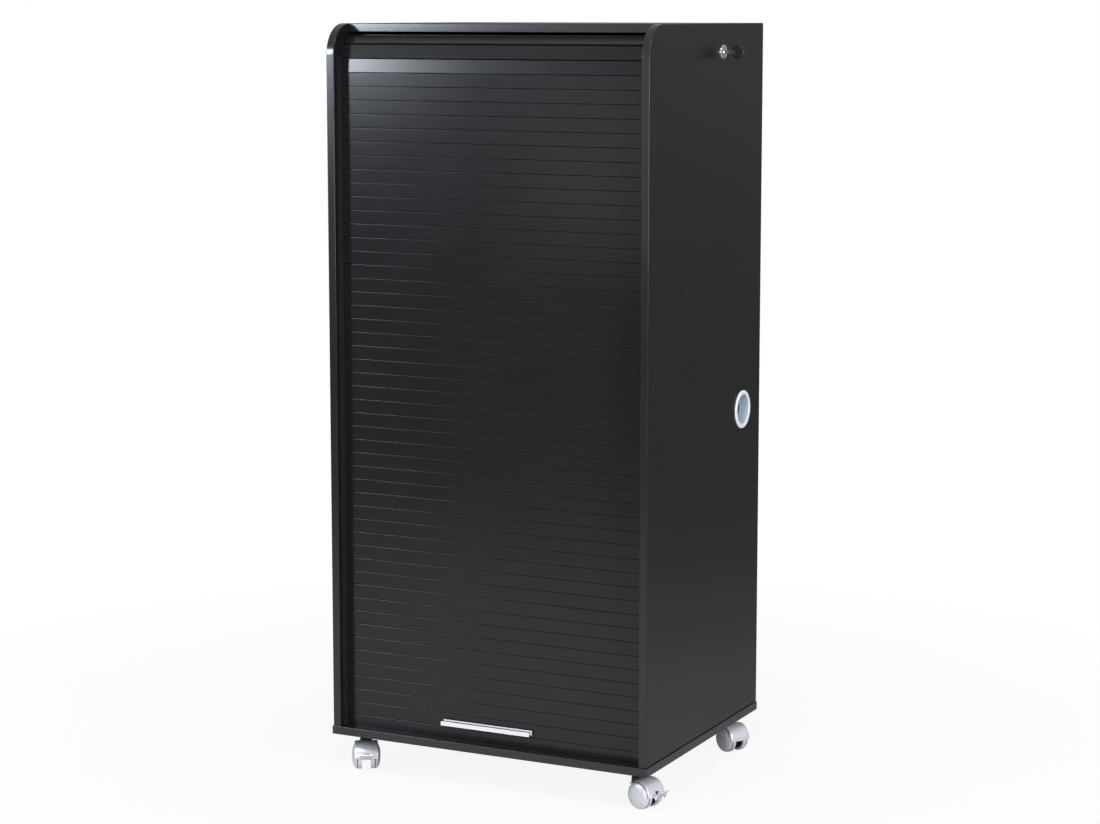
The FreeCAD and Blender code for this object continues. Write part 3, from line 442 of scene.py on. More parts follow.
class Finish(Network):
    """A material that is being made; plain numbers are set on the shader's own sockets."""

    def __init__(self, name, **sockets):
        self.material = bpy.data.materials.new(name)
        super().__init__(self.material, "ShaderNodeOutputMaterial")
        self.lit = self.node("ShaderNodeBsdfPrincipled", {}, {})
        self.show(self.lit)
        self.coat_all(**sockets)

    def coat_all(self, **sockets):
        """Sets or feeds the shader's sockets; an underscore in a name stands for a space."""
        for name, value in sockets.items():
            self.feed(self.lit.socket.node.inputs[name.replace("_", " ")], value)
        return self.material


def board_finish(name, tone, roughness, specular=0.45, coat=0.0):
    """Satin black melamine: a fine pearl, slow changes of sheen, and a little dust in it."""
    finish = Finish(name, IOR=1.5, Specular_IOR_Level=specular, Coat_Weight=coat, Coat_Roughness=0.07)
    cloud = finish.noise(6, 4)
    pearl = finish.noise(900, 2)
    dust = finish.between(finish.noise(260, 1), 0.72, 0.8)
    dark = tuple(channel * 0.88 for channel in tone)
    lighter = tuple(channel * 1.25 for channel in tone)
    base = finish.tint(finish.between(cloud, 0.35, 0.65), dark, tone)
    return finish.coat_all(
        Base_Color=finish.tint(dust * 0.5, base, lighter),
        Roughness=roughness + (cloud - 0.5) * 0.08 + (pearl - 0.5) * 0.1,
        Normal=finish.relief(pearl, 0.03, 0.35),
    )


def slat_finish():
    """Satin black plastic drawn lengthwise, with faint lines along each slat."""
    finish = Finish("slat_black", IOR=1.5, Specular_IOR_Level=0.5)
    drawn = finish.noise(420, 2, (0.03, 1, 1))
    cloud = finish.noise(5, 3)
    return finish.coat_all(
        Base_Color=finish.tint(cloud, (0.0095, 0.0097, 0.0106), (0.0118, 0.012, 0.013)),
        Roughness=0.188 + (drawn - 0.5) * 0.07 + (cloud - 0.5) * 0.04,
        Normal=finish.relief(drawn, 0.01, 0.2),
    )


def plastic_finish(name, tone, roughness, coat=0.0):
    """Moulded plastic with a fine spark-eroded grain."""
    finish = Finish(name, IOR=1.48, Coat_Weight=coat, Coat_Roughness=0.12)
    fine = finish.noise(700, 2)
    cloud = finish.noise(25, 3)
    dark = tuple(channel * 0.93 for channel in tone)
    return finish.coat_all(
        Base_Color=finish.tint(cloud, dark, tone),
        Roughness=roughness + (fine - 0.5) * 0.1 + (cloud - 0.5) * 0.06,
        Normal=finish.relief(fine, 0.02, 0.35),
    )


def silver_finish(name, tone, roughness):
    """Silver-pigmented plastic: metal flakes under a soft gloss."""
    finish = Finish(name, IOR=1.5, Metallic=0.45, Coat_Weight=0.3, Coat_Roughness=0.18)
    flakes = finish.noise(2600, 1)
    cloud = finish.noise(30, 3)
    dark = tuple(channel * 0.86 for channel in tone)
    return finish.coat_all(
        Base_Color=finish.tint(finish.between(flakes, 0.35, 0.65), dark, tone),
        Roughness=roughness + (flakes - 0.5) * 0.12 + (cloud - 0.5) * 0.08,
    )


def metal_finish(name, tone, roughness, stretch=(1, 1, 1), depth=0.01, metallic=1.0):
    """Metal with fine drawn or brushed lines."""
    finish = Finish(name, Metallic=metallic)
    fine = finish.noise(1200, 2, stretch)
    cloud = finish.noise(35, 3)
    dark = tuple(channel * 0.9 for channel in tone)
    return finish.coat_all(
        Base_Color=finish.tint(cloud, dark, tone),
        Roughness=roughness + (fine - 0.5) * 0.14 + (cloud - 0.5) * 0.05,
        Normal=finish.relief(fine, depth, 0.3),
    )


def canvas_finish():
    """Black woven canvas."""
    finish = Finish("canvas_black", Sheen_Weight=0.15, Sheen_Roughness=0.5)
    thread = {"Vector": finish.place(), "Scale": 260, "Distortion": 0.6, "Detail": 1}
    warp = finish.node("ShaderNodeTexWave", {"bands_direction": "X"}, thread)
    weft = finish.node("ShaderNodeTexWave", {"bands_direction": "Z"}, thread)
    weave = warp * 0.5 + weft * 0.5
    return finish.coat_all(
        Base_Color=finish.tint(weave, (0.008, 0.008, 0.009), (0.02, 0.02, 0.022)),
        Roughness=0.85 + (weave - 0.5) * 0.1,
        Normal=finish.relief(weave, 0.15, 0.7),
    )


def hardboard_finish():
    """Matt black lacquer over pressed fibres."""
    finish = Finish("back_board", IOR=1.45)
    fibres = finish.noise(350, 5, (1, 1, 0.5))
    return finish.coat_all(
        Base_Color=finish.tint(fibres, (0.02, 0.02, 0.022), (0.032, 0.032, 0.034)),
        Roughness=0.6 + (fibres - 0.5) * 0.2,
        Normal=finish.relief(fibres, 0.08, 0.5),
    )


PANEL = board_finish("panel_black", (0.0075, 0.0078, 0.009), 0.3)
EDGING = board_finish("edging_black", (0.0105, 0.0108, 0.0122), 0.23, specular=0.85)
SIDE_EDGING = board_finish("edging_side", (0.0105, 0.0108, 0.0122), 0.24, specular=0.5, coat=0.5)
SLAT = slat_finish()
CANVAS = canvas_finish()
HARDBOARD = hardboard_finish()
TRACK = plastic_finish("track_black", (0.014, 0.0145, 0.016), 0.42)
GROMMET = plastic_finish("grommet_white", (0.97, 0.98, 1.0), 0.3, coat=0.3)
# Painted shade with a bluish painted reflection, for the wall inside the cable outlet's bore.
BORE_PAINTED_SHADE = plastic_finish("grommet_bore", (0.6, 0.76, 0.9), 0.34, coat=0.2)
KEY_BLACK = plastic_finish("key_black", (0.012, 0.012, 0.013), 0.36)
# Painted shade for the top of the handle's sunk ledge.
LEDGE_PAINTED_SHADE = plastic_finish("grip_grey", (0.05, 0.05, 0.055), 0.5)
# Black plastic of the casters, also painted as shade in the wheels' grooves, on their inner sides and under
# the hoods.
CASTER_BLACK_AND_SHADE = plastic_finish("caster_black", (0.016, 0.016, 0.018), 0.4)
SILVER = silver_finish("caster_silver", (0.9, 0.9, 0.96), 0.36)
LEVER_SILVER = silver_finish("lever_silver", (0.95, 0.95, 0.98), 0.3)
ALUMINIUM = metal_finish("handle_aluminium", (1.0, 1.0, 1.0), 0.42, stretch=(0.02, 1, 1), metallic=0.2)
CHROME = metal_finish("lock_chrome", (0.86, 0.87, 0.88), 0.07, depth=0.002)
ZINC = metal_finish("zinc_steel", (0.6, 0.61, 0.62), 0.36)
KEY_STEEL = metal_finish("key_steel", (0.3, 0.3, 0.31), 0.24, stretch=(0.05, 1, 1))
DARK_STEEL = metal_finish("caster_dark", (0.035, 0.035, 0.037), 0.42)
AXLE_STEEL = metal_finish("axle_steel", (0.58, 0.58, 0.59), 0.22)


# Carcass

def board(node, edging, test):
    """A board of the frame with its outer edges eased; the thin faces carry the edging."""
    piece = merged_copy(node)
    low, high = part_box(node)
    thin = min(range(3), key=lambda axis: (high - low)[axis])

    def outer(edge):
        spots = [corner.co for corner in edge.verts]
        on_face = all(min(abs(s[thin] - low[thin]), abs(s[thin] - high[thin])) < MM / 20 for s in spots)
        return on_face and test(edge, low, high)

    ease(piece, BOARD_EDGE_EASE * MM, BOARD_EASE_STEPS, outer)
    return painted(smooth(piece), PANEL, edging, lambda face: abs(face.normal[thin]) < 0.5)


def on_outline(edge, low, high):
    """Whether an edge lies on a side panel's outline, its rounded corner included."""
    spot = middle(edge)
    near_side = min(spot.y - low.y, high.y - spot.y, spot.z - low.z, high.z - spot.z) < MM / 10
    behind = spot.y - low.y - CORNER_RADIUS * MM
    above = spot.z - high.z + CORNER_RADIUS * MM
    in_corner = behind < 2 * MM and above > -2 * MM
    return near_side or (in_corner and math.hypot(behind, above) > (CORNER_RADIUS - 1) * MM)


for side in ("side_left", "side_right"):
    shown(board(side, SIDE_EDGING, on_outline), "cabinet", "panel_black", side)


def on_box(edge, low, high):
    """Whether an edge runs along the outer outline of a plain board."""
    spot = middle(edge)
    return min(spot.x - low.x, high.x - spot.x, spot.y - low.y, high.y - spot.y) < MM / 10


for node in ("base_board", "inner_ceiling", "desk_shelf", "upper_shelf", "lower_shelf", "top_board"):
    shown(board(node, EDGING, on_box), "cabinet", "panel_black", node)
repainted("inner_back", PANEL)
repainted("back_panel", HARDBOARD)
for side in ("track_left", "track_right"):
    repainted(side, TRACK)


# Roll shutter

def solids_of(node):
    """The corner points of each solid of a CAD node, solids and points sorted to be alike in every run."""
    mesh = bmesh.new()
    mesh.from_mesh(frame["nodes"][node].data)
    bmesh.ops.remove_doubles(mesh, verts=mesh.verts, dist=MM / 100)
    waiting = set(mesh.verts)
    solids = []
    while waiting:
        queue = [waiting.pop()]
        solid = []
        while queue:
            corner = queue.pop()
            solid.append(corner.co.copy())
            for edge in corner.link_edges:
                other = edge.other_vert(corner)
                if other in waiting:
                    waiting.discard(other)
                    queue.append(other)
        solids.append(sorted(solid, key=tuple))
    mesh.free()
    return sorted(solids, key=lambda solid: tuple(solid[0]))


def slat_directions(lean):
    """The directions along a slat's height and out of its front, in the Y-Z plane."""
    return Vector((0, math.sin(lean), math.cos(lean))), Vector((0, -math.cos(lean), math.sin(lean)))


def slat_seat(corners):
    """Where a slat lies: its middle, and its lean back from upright, worked out from its corners."""
    mean = sum(corners, Vector()) / len(corners)
    yy = sum((corner.y - mean.y) ** 2 for corner in corners)
    zz = sum((corner.z - mean.z) ** 2 for corner in corners)
    yz = sum((corner.y - mean.y) * (corner.z - mean.z) for corner in corners)
    lean = 0.5 * math.atan2(2 * yz, zz - yy)
    if lean < -math.pi / 4:
        lean += math.pi
    along, outward = slat_directions(lean)

    def halfway(direction):
        reach = [corner.dot(direction) for corner in corners]
        return (min(reach) + max(reach)) / 2

    return along * halfway(along) + outward * halfway(outward), lean


def eased_face(piece):
    """Eases the long front edges of a flat bar, the upper one more than the lower one."""
    front = min(corner.co.y for corner in piece.data.vertices)
    half_way = sum(corner.co.z for corner in piece.data.vertices) / len(piece.data.vertices)
    for upward, width in ((1, SLAT_UPPER_EASE), (-1, SLAT_LOWER_EASE)):
        ease(piece, width * MM, 4, lambda edge: (
            abs(middle(edge).y - front) < MM / 10 and (middle(edge).z - half_way) * upward > 0
            and abs(edge.verts[0].co.x - edge.verts[1].co.x) > MM))
    return piece


def one_slat():
    """A flat slat with eased long edges at the front, lying at the origin with its face towards -Y."""
    low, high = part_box("handle_slat")
    half = (high - low) / 2
    piece = eased_face(block("slat", Vector((-half.x, -half.y, SLAT_SHORTER * MM - half.z)), half))
    ease(piece, SLAT_END_EASE * MM, 1, lambda edge: abs(middle(edge).x) > half.x - MM and middle(edge).y < 0)
    return smooth(piece)


def seats_of(node):
    """The seats of a CAD node's slats, from the lowest up and then towards the back."""
    return sorted((slat_seat(corners) for corners in solids_of(node)), key=lambda seat: seat[0].z + seat[0].y)


def laid_slats(node, pattern, spread=0.0, top_lean=0.0):
    """Copies of the slat on every seat of a CAD node, each a trace out of true; the highest may lean back."""
    lean_by = random.Random(node)
    seats = seats_of(node)
    slats = []
    for i, (centre, lean) in enumerate(seats):
        tilt = lean_by.uniform(-spread, spread) - (top_lean if i == len(seats) - 1 else 0)
        turn = Matrix.Rotation(math.radians(tilt) - lean, 4, "X")
        slats.append(copied(pattern, f"{node}_{i}", Matrix.Translation(centre) @ turn))
    return slats


slide = next(joint for joint in frame["joints"] if joint["name"] == "shutter_slide")


def rolls_away(piece):
    """Gives a piece its own mesh; the share left when the shutter is up is worked out but not used."""
    heights = [corner.co.z for corner in piece.data.vertices]
    low, length = min(heights), max(heights) - min(heights)
    left = 1 - slide["range_m"][1] / length
    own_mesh(piece)


slat = painted(one_slat(), SLAT)
lowest_slat, *rolling_slats = laid_slats("shutter_slats", slat, SLAT_TILT_SPREAD, TOP_SLAT_LEAN)
front_slats = joined("front_slats", rolling_slats)
lowest_slat.name = lowest_slat.data.name = "lowest_slat"
top_slats = joined("top_slats", laid_slats("shutter_slats_top", slat))
handle_slat = joined("handle_slat_shown", laid_slats("handle_slat", slat))
bpy.data.objects.remove(slat)
shown(front_slats, "shutter", "slat_black", "shutter_slats")
shown(lowest_slat, "shutter", "slat_black", "shutter_slats")
shown(top_slats, "cabinet", "slat_black", "shutter_slats_top")
shown(handle_slat, "shutter", "slat_black", "handle_slat")
rolls_away(front_slats)


def canvas_path(slats_node):
    """The line that the canvas takes along the backs of a row of slats, with a little sag between them."""
    low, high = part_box("handle_slat")
    behind = (high.y - low.y) / 2 + CANVAS_GLUE * MM
    stuck = (high.z - low.z) / 2 - CANVAS_LOOSE * MM
    path = []
    sag = Vector()
    for centre, lean in seats_of(slats_node):
        along, outward = slat_directions(lean)
        back = centre - outward * behind
        lower, upper = back - along * stuck, back + along * stuck
        if path:
            path.append((path[-1] + lower) / 2 + sag)
        path += [lower, upper]
        sag = -outward * CANVAS_SAG * MM
    return path


def canvas_run(name, node, slats_node, body):
    """The canvas on a row of slats: a wire along their backs, drawn out across them and made thick."""
    low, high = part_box(node)
    path = canvas_path(slats_node)
    piece = added(name, bpy.ops.mesh.primitive_plane_add, size=MM)
    with editing(piece, "VERT"):
        bpy.ops.mesh.select_all(action="SELECT")
        bpy.ops.mesh.merge(type="CENTER")
        bpy.ops.transform.translate(value=(low.x, path[0].y, path[0].z))
        for spot, after in zip(path, path[1:]):
            bpy.ops.mesh.extrude_region_move(TRANSFORM_OT_translate={"value": after - spot})
        bpy.ops.mesh.select_all(action="SELECT")
        across = ((high.x - low.x) / CANVAS_PANELS, 0, 0)
        for _ in range(CANVAS_PANELS):
            bpy.ops.mesh.extrude_region_move(TRANSFORM_OT_translate={"value": across})
        bpy.ops.mesh.select_all(action="SELECT")
        bpy.ops.mesh.remove_doubles(threshold=MM / 1000)
        bpy.ops.mesh.normals_make_consistent(inside=False)
    faces_back = sum(face.normal.y * face.area for face in piece.data.polygons) > 0
    wall = piece.modifiers.new("thickness", "SOLIDIFY")
    wall.thickness = CANVAS_THICK * MM
    wall.offset = 1 if faces_back else -1
    bpy.ops.object.modifier_apply(modifier="thickness")
    painted(smooth(facing_out(piece), 60), CANVAS)
    shown(piece, body, "canvas_black", node)
    length = sum((after - spot).length for spot, after in zip(path, path[1:]))
    return piece


rolls_away(canvas_run("front_canvas", "shutter_canvas", "shutter_slats", "shutter"))
canvas_run("top_canvas", "shutter_canvas_top", "shutter_slats_top", "cabinet")


def bottom_rail():
    """The rail's face under the last slat, with the batten behind it."""
    low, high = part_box("bottom_rail")
    slat_low, slat_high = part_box("handle_slat")
    face = eased_face(block("rail_face", (slat_low.x, low.y, low.z),
                            (slat_high.x, slat_high.y, slat_low.z - RAIL_GAP * MM)))
    batten_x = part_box("side_right")[0].x - RAIL_PLAY * MM
    batten = block("batten", (-batten_x, slat_high.y, low.z), (batten_x, high.y, high.z))
    ease(batten, 0.5 * MM)
    return smooth(joined("bottom_rail_shown", [face, batten]))


shown(painted(bottom_rail(), SLAT), "shutter", "slat_black", "bottom_rail")


def pull_handle():
    """The extruded handle: a flange on the slat, a sunk ledge, and a lip in front that is a little lower."""
    low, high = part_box("shutter_handle")
    wall = HANDLE_WALL * MM
    top = high.z - HANDLE_TOP_DROP * MM
    bottom = top - HANDLE_HEIGHT * MM
    ledge = top - HANDLE_LEDGE_DROP * MM
    lip_top = top - HANDLE_LIP_DROP * MM
    piece = block("pull_handle", (low.x, high.y - wall, bottom), (high.x, high.y, top))
    with editing(piece, "FACE"):
        for z in (ledge - wall, ledge):
            bpy.ops.mesh.select_all(action="SELECT")
            bpy.ops.mesh.bisect(plane_co=(0, 0, z), plane_no=(0, 0, 1))
        for reach in (high.y - low.y - 2 * wall, wall):
            choose(piece, "faces", lambda face: (
                face.normal.y < -0.9 and ledge - wall < middle(face).z < ledge))
            bpy.ops.mesh.extrude_region_move(TRANSFORM_OT_translate={"value": (0, -reach, 0)})
        for upward, end in ((-1, bottom - ledge + wall), (1, lip_top - ledge)):
            choose(piece, "faces", lambda face: (
                face.normal.z * upward > 0.9 and middle(face).y < low.y + wall))
            bpy.ops.mesh.extrude_region_move(TRANSFORM_OT_translate={"value": (0, 0, end)})
        bpy.ops.mesh.select_all(action="SELECT")
        bpy.ops.mesh.normals_make_consistent(inside=False)
    ease(piece, 0.3 * MM, 2)
    # The ledge's top is painted dark grey: painted shade in the channel between the flange and the lip.
    painted(piece, ALUMINIUM, LEDGE_PAINTED_SHADE, lambda face: (
        face.normal.z > 0.99 and abs(face.center.z - ledge) < MM / 10))
    return smooth(piece)


shown(pull_handle(), "shutter", "handle_aluminium", "shutter_handle")


# Side fittings

def along_x(piece, x, y, z):
    """Lays a piece made round Z along +X at a point."""
    return moved(piece, Matrix.Translation((x, y, z)) @ Matrix.Rotation(math.pi / 2, 4, "Y"))


def cable_outlet():
    """A moulded sleeve: rounded flange outside, a thin rim at the inner end."""
    low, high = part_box("cable_grommet")
    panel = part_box("side_right")[1].x
    radius = (high.z - low.z) / 2
    flange = high.x - panel
    length = panel - low.x
    bore = radius - OUTLET_RIM * MM
    sleeve = bore + OUTLET_WALL * MM
    rim_end = OUTLET_WHITE_END * MM - length
    outline = [
        (bore, rim_end), (bore, -length + 0.5 * MM), (bore + 0.5 * MM, -length), (sleeve, -length),
        (sleeve, 0), (radius, 0),
        (radius, flange * 0.35), (radius - 0.5 * MM, flange * 0.7), (radius - 1.6 * MM, flange * 0.95),
        (radius - 2.8 * MM, flange), (bore + 1.6 * MM, flange), (bore + 0.6 * MM, flange * 0.85),
        (bore, flange * 0.4),
    ]
    piece = spun("cable_outlet", outline, steps=72, closed=True)
    # The bore's wall, all but its white inner end, gets painted bluish shade.
    painted(piece, GROMMET, BORE_PAINTED_SHADE, lambda face: (
        math.hypot(*face.center.xy) < bore + 0.1 * MM and face.center.z > rim_end))
    along_x(piece, panel, (low.y + high.y) / 2, (low.z + high.z) / 2)
    return smooth(piece, 50)


shown(cable_outlet(), "cabinet", "grommet_white", "cable_grommet")

lock_joint = next(joint for joint in frame["joints"] if joint["name"] == "lock_turn")
lock_y, lock_z = lock_joint["pos_m"][1:]
panel_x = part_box("side_right")[1].x


def lock_head():
    """The lock's housing: a polished flange with a sunk ring round the plug, and the barrel behind."""
    low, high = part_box("lock_housing")
    head = high.x - panel_x
    radius = (high.z - low.z) / 2
    bore = LOCK_BORE * MM
    barrel = LOCK_BARREL * MM
    outline = [
        (bore, low.x - panel_x), (barrel, low.x - panel_x), (barrel, 0), (radius, 0), (radius, head * 0.3),
        (radius - 0.7 * MM, head * 0.75), (radius - 2 * MM, head * 0.97), (radius - 3.4 * MM, head),
        (bore + 2.6 * MM, head), (bore + 1.8 * MM, head * 0.7), (bore + 0.9 * MM, head * 0.7),
        (bore + 0.5 * MM, head * 0.95), (bore, head * 0.9),
    ]
    piece = spun("lock_head", outline, steps=56, closed=True)
    along_x(piece, panel_x, lock_y, lock_z)
    return smooth(piece)


def lock_barrel():
    """The turning plug with its key slot."""
    low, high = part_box("lock_plug")
    length = high.x - low.x
    radius = (high.z - low.z) / 2
    outline = [(0, 0), (radius, 0), (radius, length - 0.5 * MM), (radius - 0.5 * MM, length), (0, length)]
    piece = spun("lock_barrel", outline, steps=40)
    along_x(piece, low.x, lock_y, lock_z)
    slot = block("slot", (high.x - 12 * MM, lock_y - MM, lock_z - 4 * MM),
                 (high.x + MM, lock_y + MM, lock_z + 4 * MM))
    return smooth(carved(piece, [slot]))


def key_shank():
    """The key's blade with its cuts."""
    low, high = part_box("key_blade")
    piece = block("key_shank", low, high)
    cuts = []
    for i, depth in enumerate(KEY_CUTS):
        x = low.x + (1.5 + i * KEY_CUT_PITCH) * MM
        cuts.append(block("notch", (x, low.y - MM, high.z - depth * MM),
                          (x + KEY_CUT_WIDTH * MM, high.y + MM, high.z + MM)))
    carved(piece, cuts)
    return smooth(ease(piece, 0.15 * MM, 1))


def key_bow():
    """The key's moulded head: a flat disc with rounded edges, a dished middle and the blade's shoulder."""
    low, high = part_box("key_head")
    thick = high.y - low.y
    radius = (high.z - low.z) / 2
    rim = radius - KEY_RIM * MM
    dish = KEY_DISH * MM
    outline = [
        (0, dish), (radius - 5 * MM, dish), (rim, 0.1 * MM), (radius - 2 * MM, 0),
        (radius - 0.6 * MM, 0.6 * MM), (radius, thick * 0.35), (radius, thick * 0.65),
        (radius - 0.6 * MM, thick - 0.6 * MM), (radius - 2 * MM, thick), (rim, thick - 0.1 * MM),
        (radius - 5 * MM, thick - dish), (0, thick - dish),
    ]
    piece = spun("key_bow", outline, steps=48)
    centre_x = (low.x + high.x) / 2
    moved(piece, Matrix.Translation((centre_x, low.y, lock_z)) @ Matrix.Rotation(-math.pi / 2, 4, "X"))
    socket = block("socket", (low.x - MM, lock_y - MM, lock_z - 4 * MM),
                   (centre_x - 5 * MM, lock_y + MM, lock_z + 4 * MM))
    return smooth(carved(piece, [socket]), 40)


shown(painted(lock_head(), CHROME), "cabinet", "lock_chrome", "lock_housing")
shown(painted(lock_barrel(), CHROME), "lock_cylinder", "lock_chrome", "lock_plug")
shown(painted(key_shank(), KEY_STEEL), "lock_cylinder", "key_steel", "key_blade")
shown(painted(key_bow(), KEY_BLACK), "lock_cylinder", "key_black", "key_head")
for node in ("lock_nut", "lock_cam", "cam_screw", "lock_strike"):
    repainted(node, ZINC)


# Casters

def caster_seat(corner):
    """A caster's own frame: swivel axis on Z at its corner, wheels ahead along +X."""
    pivot = next(j for j in frame["joints"] if j["name"] == f"swivel_{corner}")["pos_m"]
    axle = next(j for j in frame["joints"] if j["name"] == f"roll_{corner}_a")["pos_m"]
    ahead = math.atan2(axle[1] - pivot[1], axle[0] - pivot[0])
    return Matrix.Translation((pivot[0], pivot[1], 0)) @ Matrix.Rotation(ahead, 4, "Z")


AXLE = Vector((TRAIL * MM, 0, AXLE_HEIGHT * MM))
TO_AXLE = Matrix.Translation(AXLE) @ Matrix.Rotation(-math.pi / 2, 4, "X")
FLIPPED = Matrix.Translation((2 * TRAIL * MM, 0, 0)) @ Matrix.Rotation(math.pi, 4, "Z")


def wheel():
    """One wheel: a tread with a rim bead, a groove with painted shade, and an outer face domed over to its
    middle.
    """
    inner, outer, radius = WHEEL_INNER * MM, WHEEL_OUTER * MM, WHEEL_RADIUS * MM
    edge = WHEEL_TREAD_EDGE * MM
    bore = AXLE_BORE * MM
    bore_and_inner_side = [
        (bore, inner + 8 * MM), (bore, inner), (7 * MM, inner), (7.6 * MM, inner + 1.5 * MM),
        (21 * MM, inner + 1.5 * MM), (22 * MM, inner), (radius - 0.8 * MM, inner),
    ]
    tread_and_groove = [
        (radius, inner + 0.8 * MM), (radius, edge - 0.9 * MM), (radius - 0.2 * MM, edge - 0.2 * MM),
        (radius - 1.2 * MM, edge + 0.3 * MM), (radius - 1.4 * MM, edge + 1.1 * MM),
    ]
    dome = []
    steps = 14
    for i in range(1, steps + 1):
        angle = math.pi / 2 * i / steps
        reach = (radius - 0.4 * MM) * math.cos(angle) ** (2 / WHEEL_DOME_POWER) if i < steps else 0
        dome.append((reach, edge + (outer - edge) * math.sin(angle) ** (2 / WHEEL_DOME_POWER)))
    piece = spun("wheel", bore_and_inner_side + tread_and_groove + dome, steps=64)

    # Painted shade: the groove is painted black as a shadow line; the inner side and the bore are black,
    # partly as painted shade under the hood.
    def dark(face):
        reach = math.hypot(*face.center.xy)
        inner_side = face.center.z < inner + 1.6 * MM and reach < 22.5 * MM
        axle_bore = face.center.z < outer - 2 * MM and reach < bore + 0.1 * MM
        groove = edge < face.center.z < edge + 1.3 * MM and radius - 1.5 * MM < reach < radius - 0.3 * MM
        return inner_side or axle_bore or groove

    painted(piece, SILVER, CASTER_BLACK_AND_SHADE, dark)
    moved(piece, TO_AXLE)
    return smooth(piece, 40)


def half_cut(piece, spot, direction):
    """Cuts a piece with a plane and keeps the side that the direction points to."""
    with editing(piece):
        bpy.ops.mesh.select_all(action="SELECT")
        bpy.ops.mesh.bisect(plane_co=spot, plane_no=direction, clear_inner=True, use_fill=True)
    return piece


def hood_shell():
    """The hood's crowned arch, cut off on a slant at its rear."""
    inner, outer, half = HOOD_INNER * MM, HOOD_OUTER * MM, HOOD_HALF * MM
    crown = [(outer, 0), (outer - 0.15 * MM, 0.5), (outer - 0.5 * MM, 0.8), (outer - 0.9 * MM, 0.93),
             (outer - 1.4 * MM, 0.985), (inner + 0.4 * MM, 1), (inner, 0.98)]
    arch = [(radius, share * half) for radius, share in crown]
    arch = [(radius, -height) for radius, height in reversed(arch[1:])] + arch
    shell = moved(spun("hood_shell", arch, turn=math.pi, steps=48, closed=True), TO_AXLE)
    slant = inner * HOOD_REAR_SHARE
    return half_cut(shell, (AXLE.x - slant, 0, AXLE.z + slant), (1, 0, 1))


def hood(braked):
    """The hood over both wheels: its shell, the web between the wheels and the boss of the stem."""
    inner = HOOD_INNER * MM
    shell = hood_shell()
    web = half_cut(tube("web", inner + 0.3 * MM, HOOD_WEB_HALF * MM, AXLE, 56), AXLE, (0, 0, 1))
    foot = tube("foot", 9.5 * MM, 8.4 * MM, AXLE, 40)
    boss = spun("boss", [(0, 45 * MM), (12.5 * MM, 45 * MM), (12 * MM, 53.5 * MM), (11 * MM, 56 * MM),
                         (10.3 * MM, 56.5 * MM), (0, 56.5 * MM)], steps=40)
    if braked:
        for part in (shell, web, foot):
            carved(part, [block("slot", (33 * MM, -4.6 * MM, 10 * MM), (60 * MM, 4.6 * MM, 36 * MM))])
    # Painted shade: the inside of the hood's shell is painted black.
    painted(shell, SILVER, CASTER_BLACK_AND_SHADE, lambda face: (
        math.hypot(face.center.x - AXLE.x, face.center.z - AXLE.z) < inner + 0.2 * MM))
    # The web and foot between the wheels are black, partly as painted shade under the hood; the boss is dark
    # like the stem.
    for part in (web, foot, boss):
        painted(part, CASTER_BLACK_AND_SHADE)
    return smooth(joined("hood", [shell, web, foot, boss]), 40)


def brake_lever():
    """The brake's paddle: a sloped plate with turned-down cheeks on an arm that enters the hood."""
    root, tip = (Vector(((TRAIL + ahead) * MM, 0, (AXLE_HEIGHT + above) * MM))
                 for ahead, above in (LEVER_ROOT, LEVER_TIP))
    slope = math.atan2(tip.z - root.z, tip.x - root.x)
    length = (tip - root).length
    thick, half = LEVER_THICK * MM, LEVER_HALF * MM
    plate = block("paddle", (0, -half, -thick), (length, half, 0))
    with editing(plate, "FACE"):
        choose(plate, "faces", lambda face: face.normal.z > 0.9)
        bpy.ops.mesh.inset(thickness=1.6 * MM, depth=0)
        bpy.ops.transform.translate(value=(0, 0, -0.6 * MM))
    ease(plate, 0.8 * MM, 3, lambda edge: abs(middle(edge).z + thick / 2) > thick / 2 - 0.1 * MM)
    cheeks = []
    for side in (-1, 1):
        y = side * (half - 0.9 * MM)
        cheek = block("cheek", (0.5 * MM, y - 0.8 * MM, -7 * MM),
                      (length * 0.62, y + 0.8 * MM, -thick + 0.3 * MM))
        with editing(cheek, "VERT"):
            choose(cheek, "verts", lambda corner: corner.co.z < -5 * MM and corner.co.x > MM)
            bpy.ops.transform.translate(value=(-length * 0.35, 0, 0))
        ease(cheek, 0.3 * MM, 2)
        cheeks.append(cheek)
    seat = Matrix.Translation(root) @ Matrix.Rotation(-slope, 4, "Y")
    paddle = moved(joined("paddle", [plate, *cheeks]), seat)
    pin_x, pin_z = BRAKE_PIN[0] * MM, BRAKE_PIN[1] * MM
    eye = tube("eye", 4 * MM, 4 * MM, (pin_x, 0, pin_z), 32)
    arm = block("arm", (pin_x, -4 * MM, 25.5 * MM), (50.5 * MM, 4 * MM, 29.5 * MM))
    ease(arm, 0.5 * MM)
    ease(eye, 0.4 * MM)
    return smooth(joined("brake_lever", [paddle, arm, eye]), 40)


def stem_and_cup():
    """The stem with the ball cup above the hood."""
    stem = [(0, 37), (4.4, 37), (5, 37.6), (5, 57)]
    cup = [(11.5, 57), (12.6, 57.5), (13.4, 60), (15.5, 65), (16.4, 69),
           (16.4, PLATE_UNDER), (0, PLATE_UNDER)]
    return smooth(spun("stem", [(radius * MM, height * MM) for radius, height in stem + cup], steps=48))


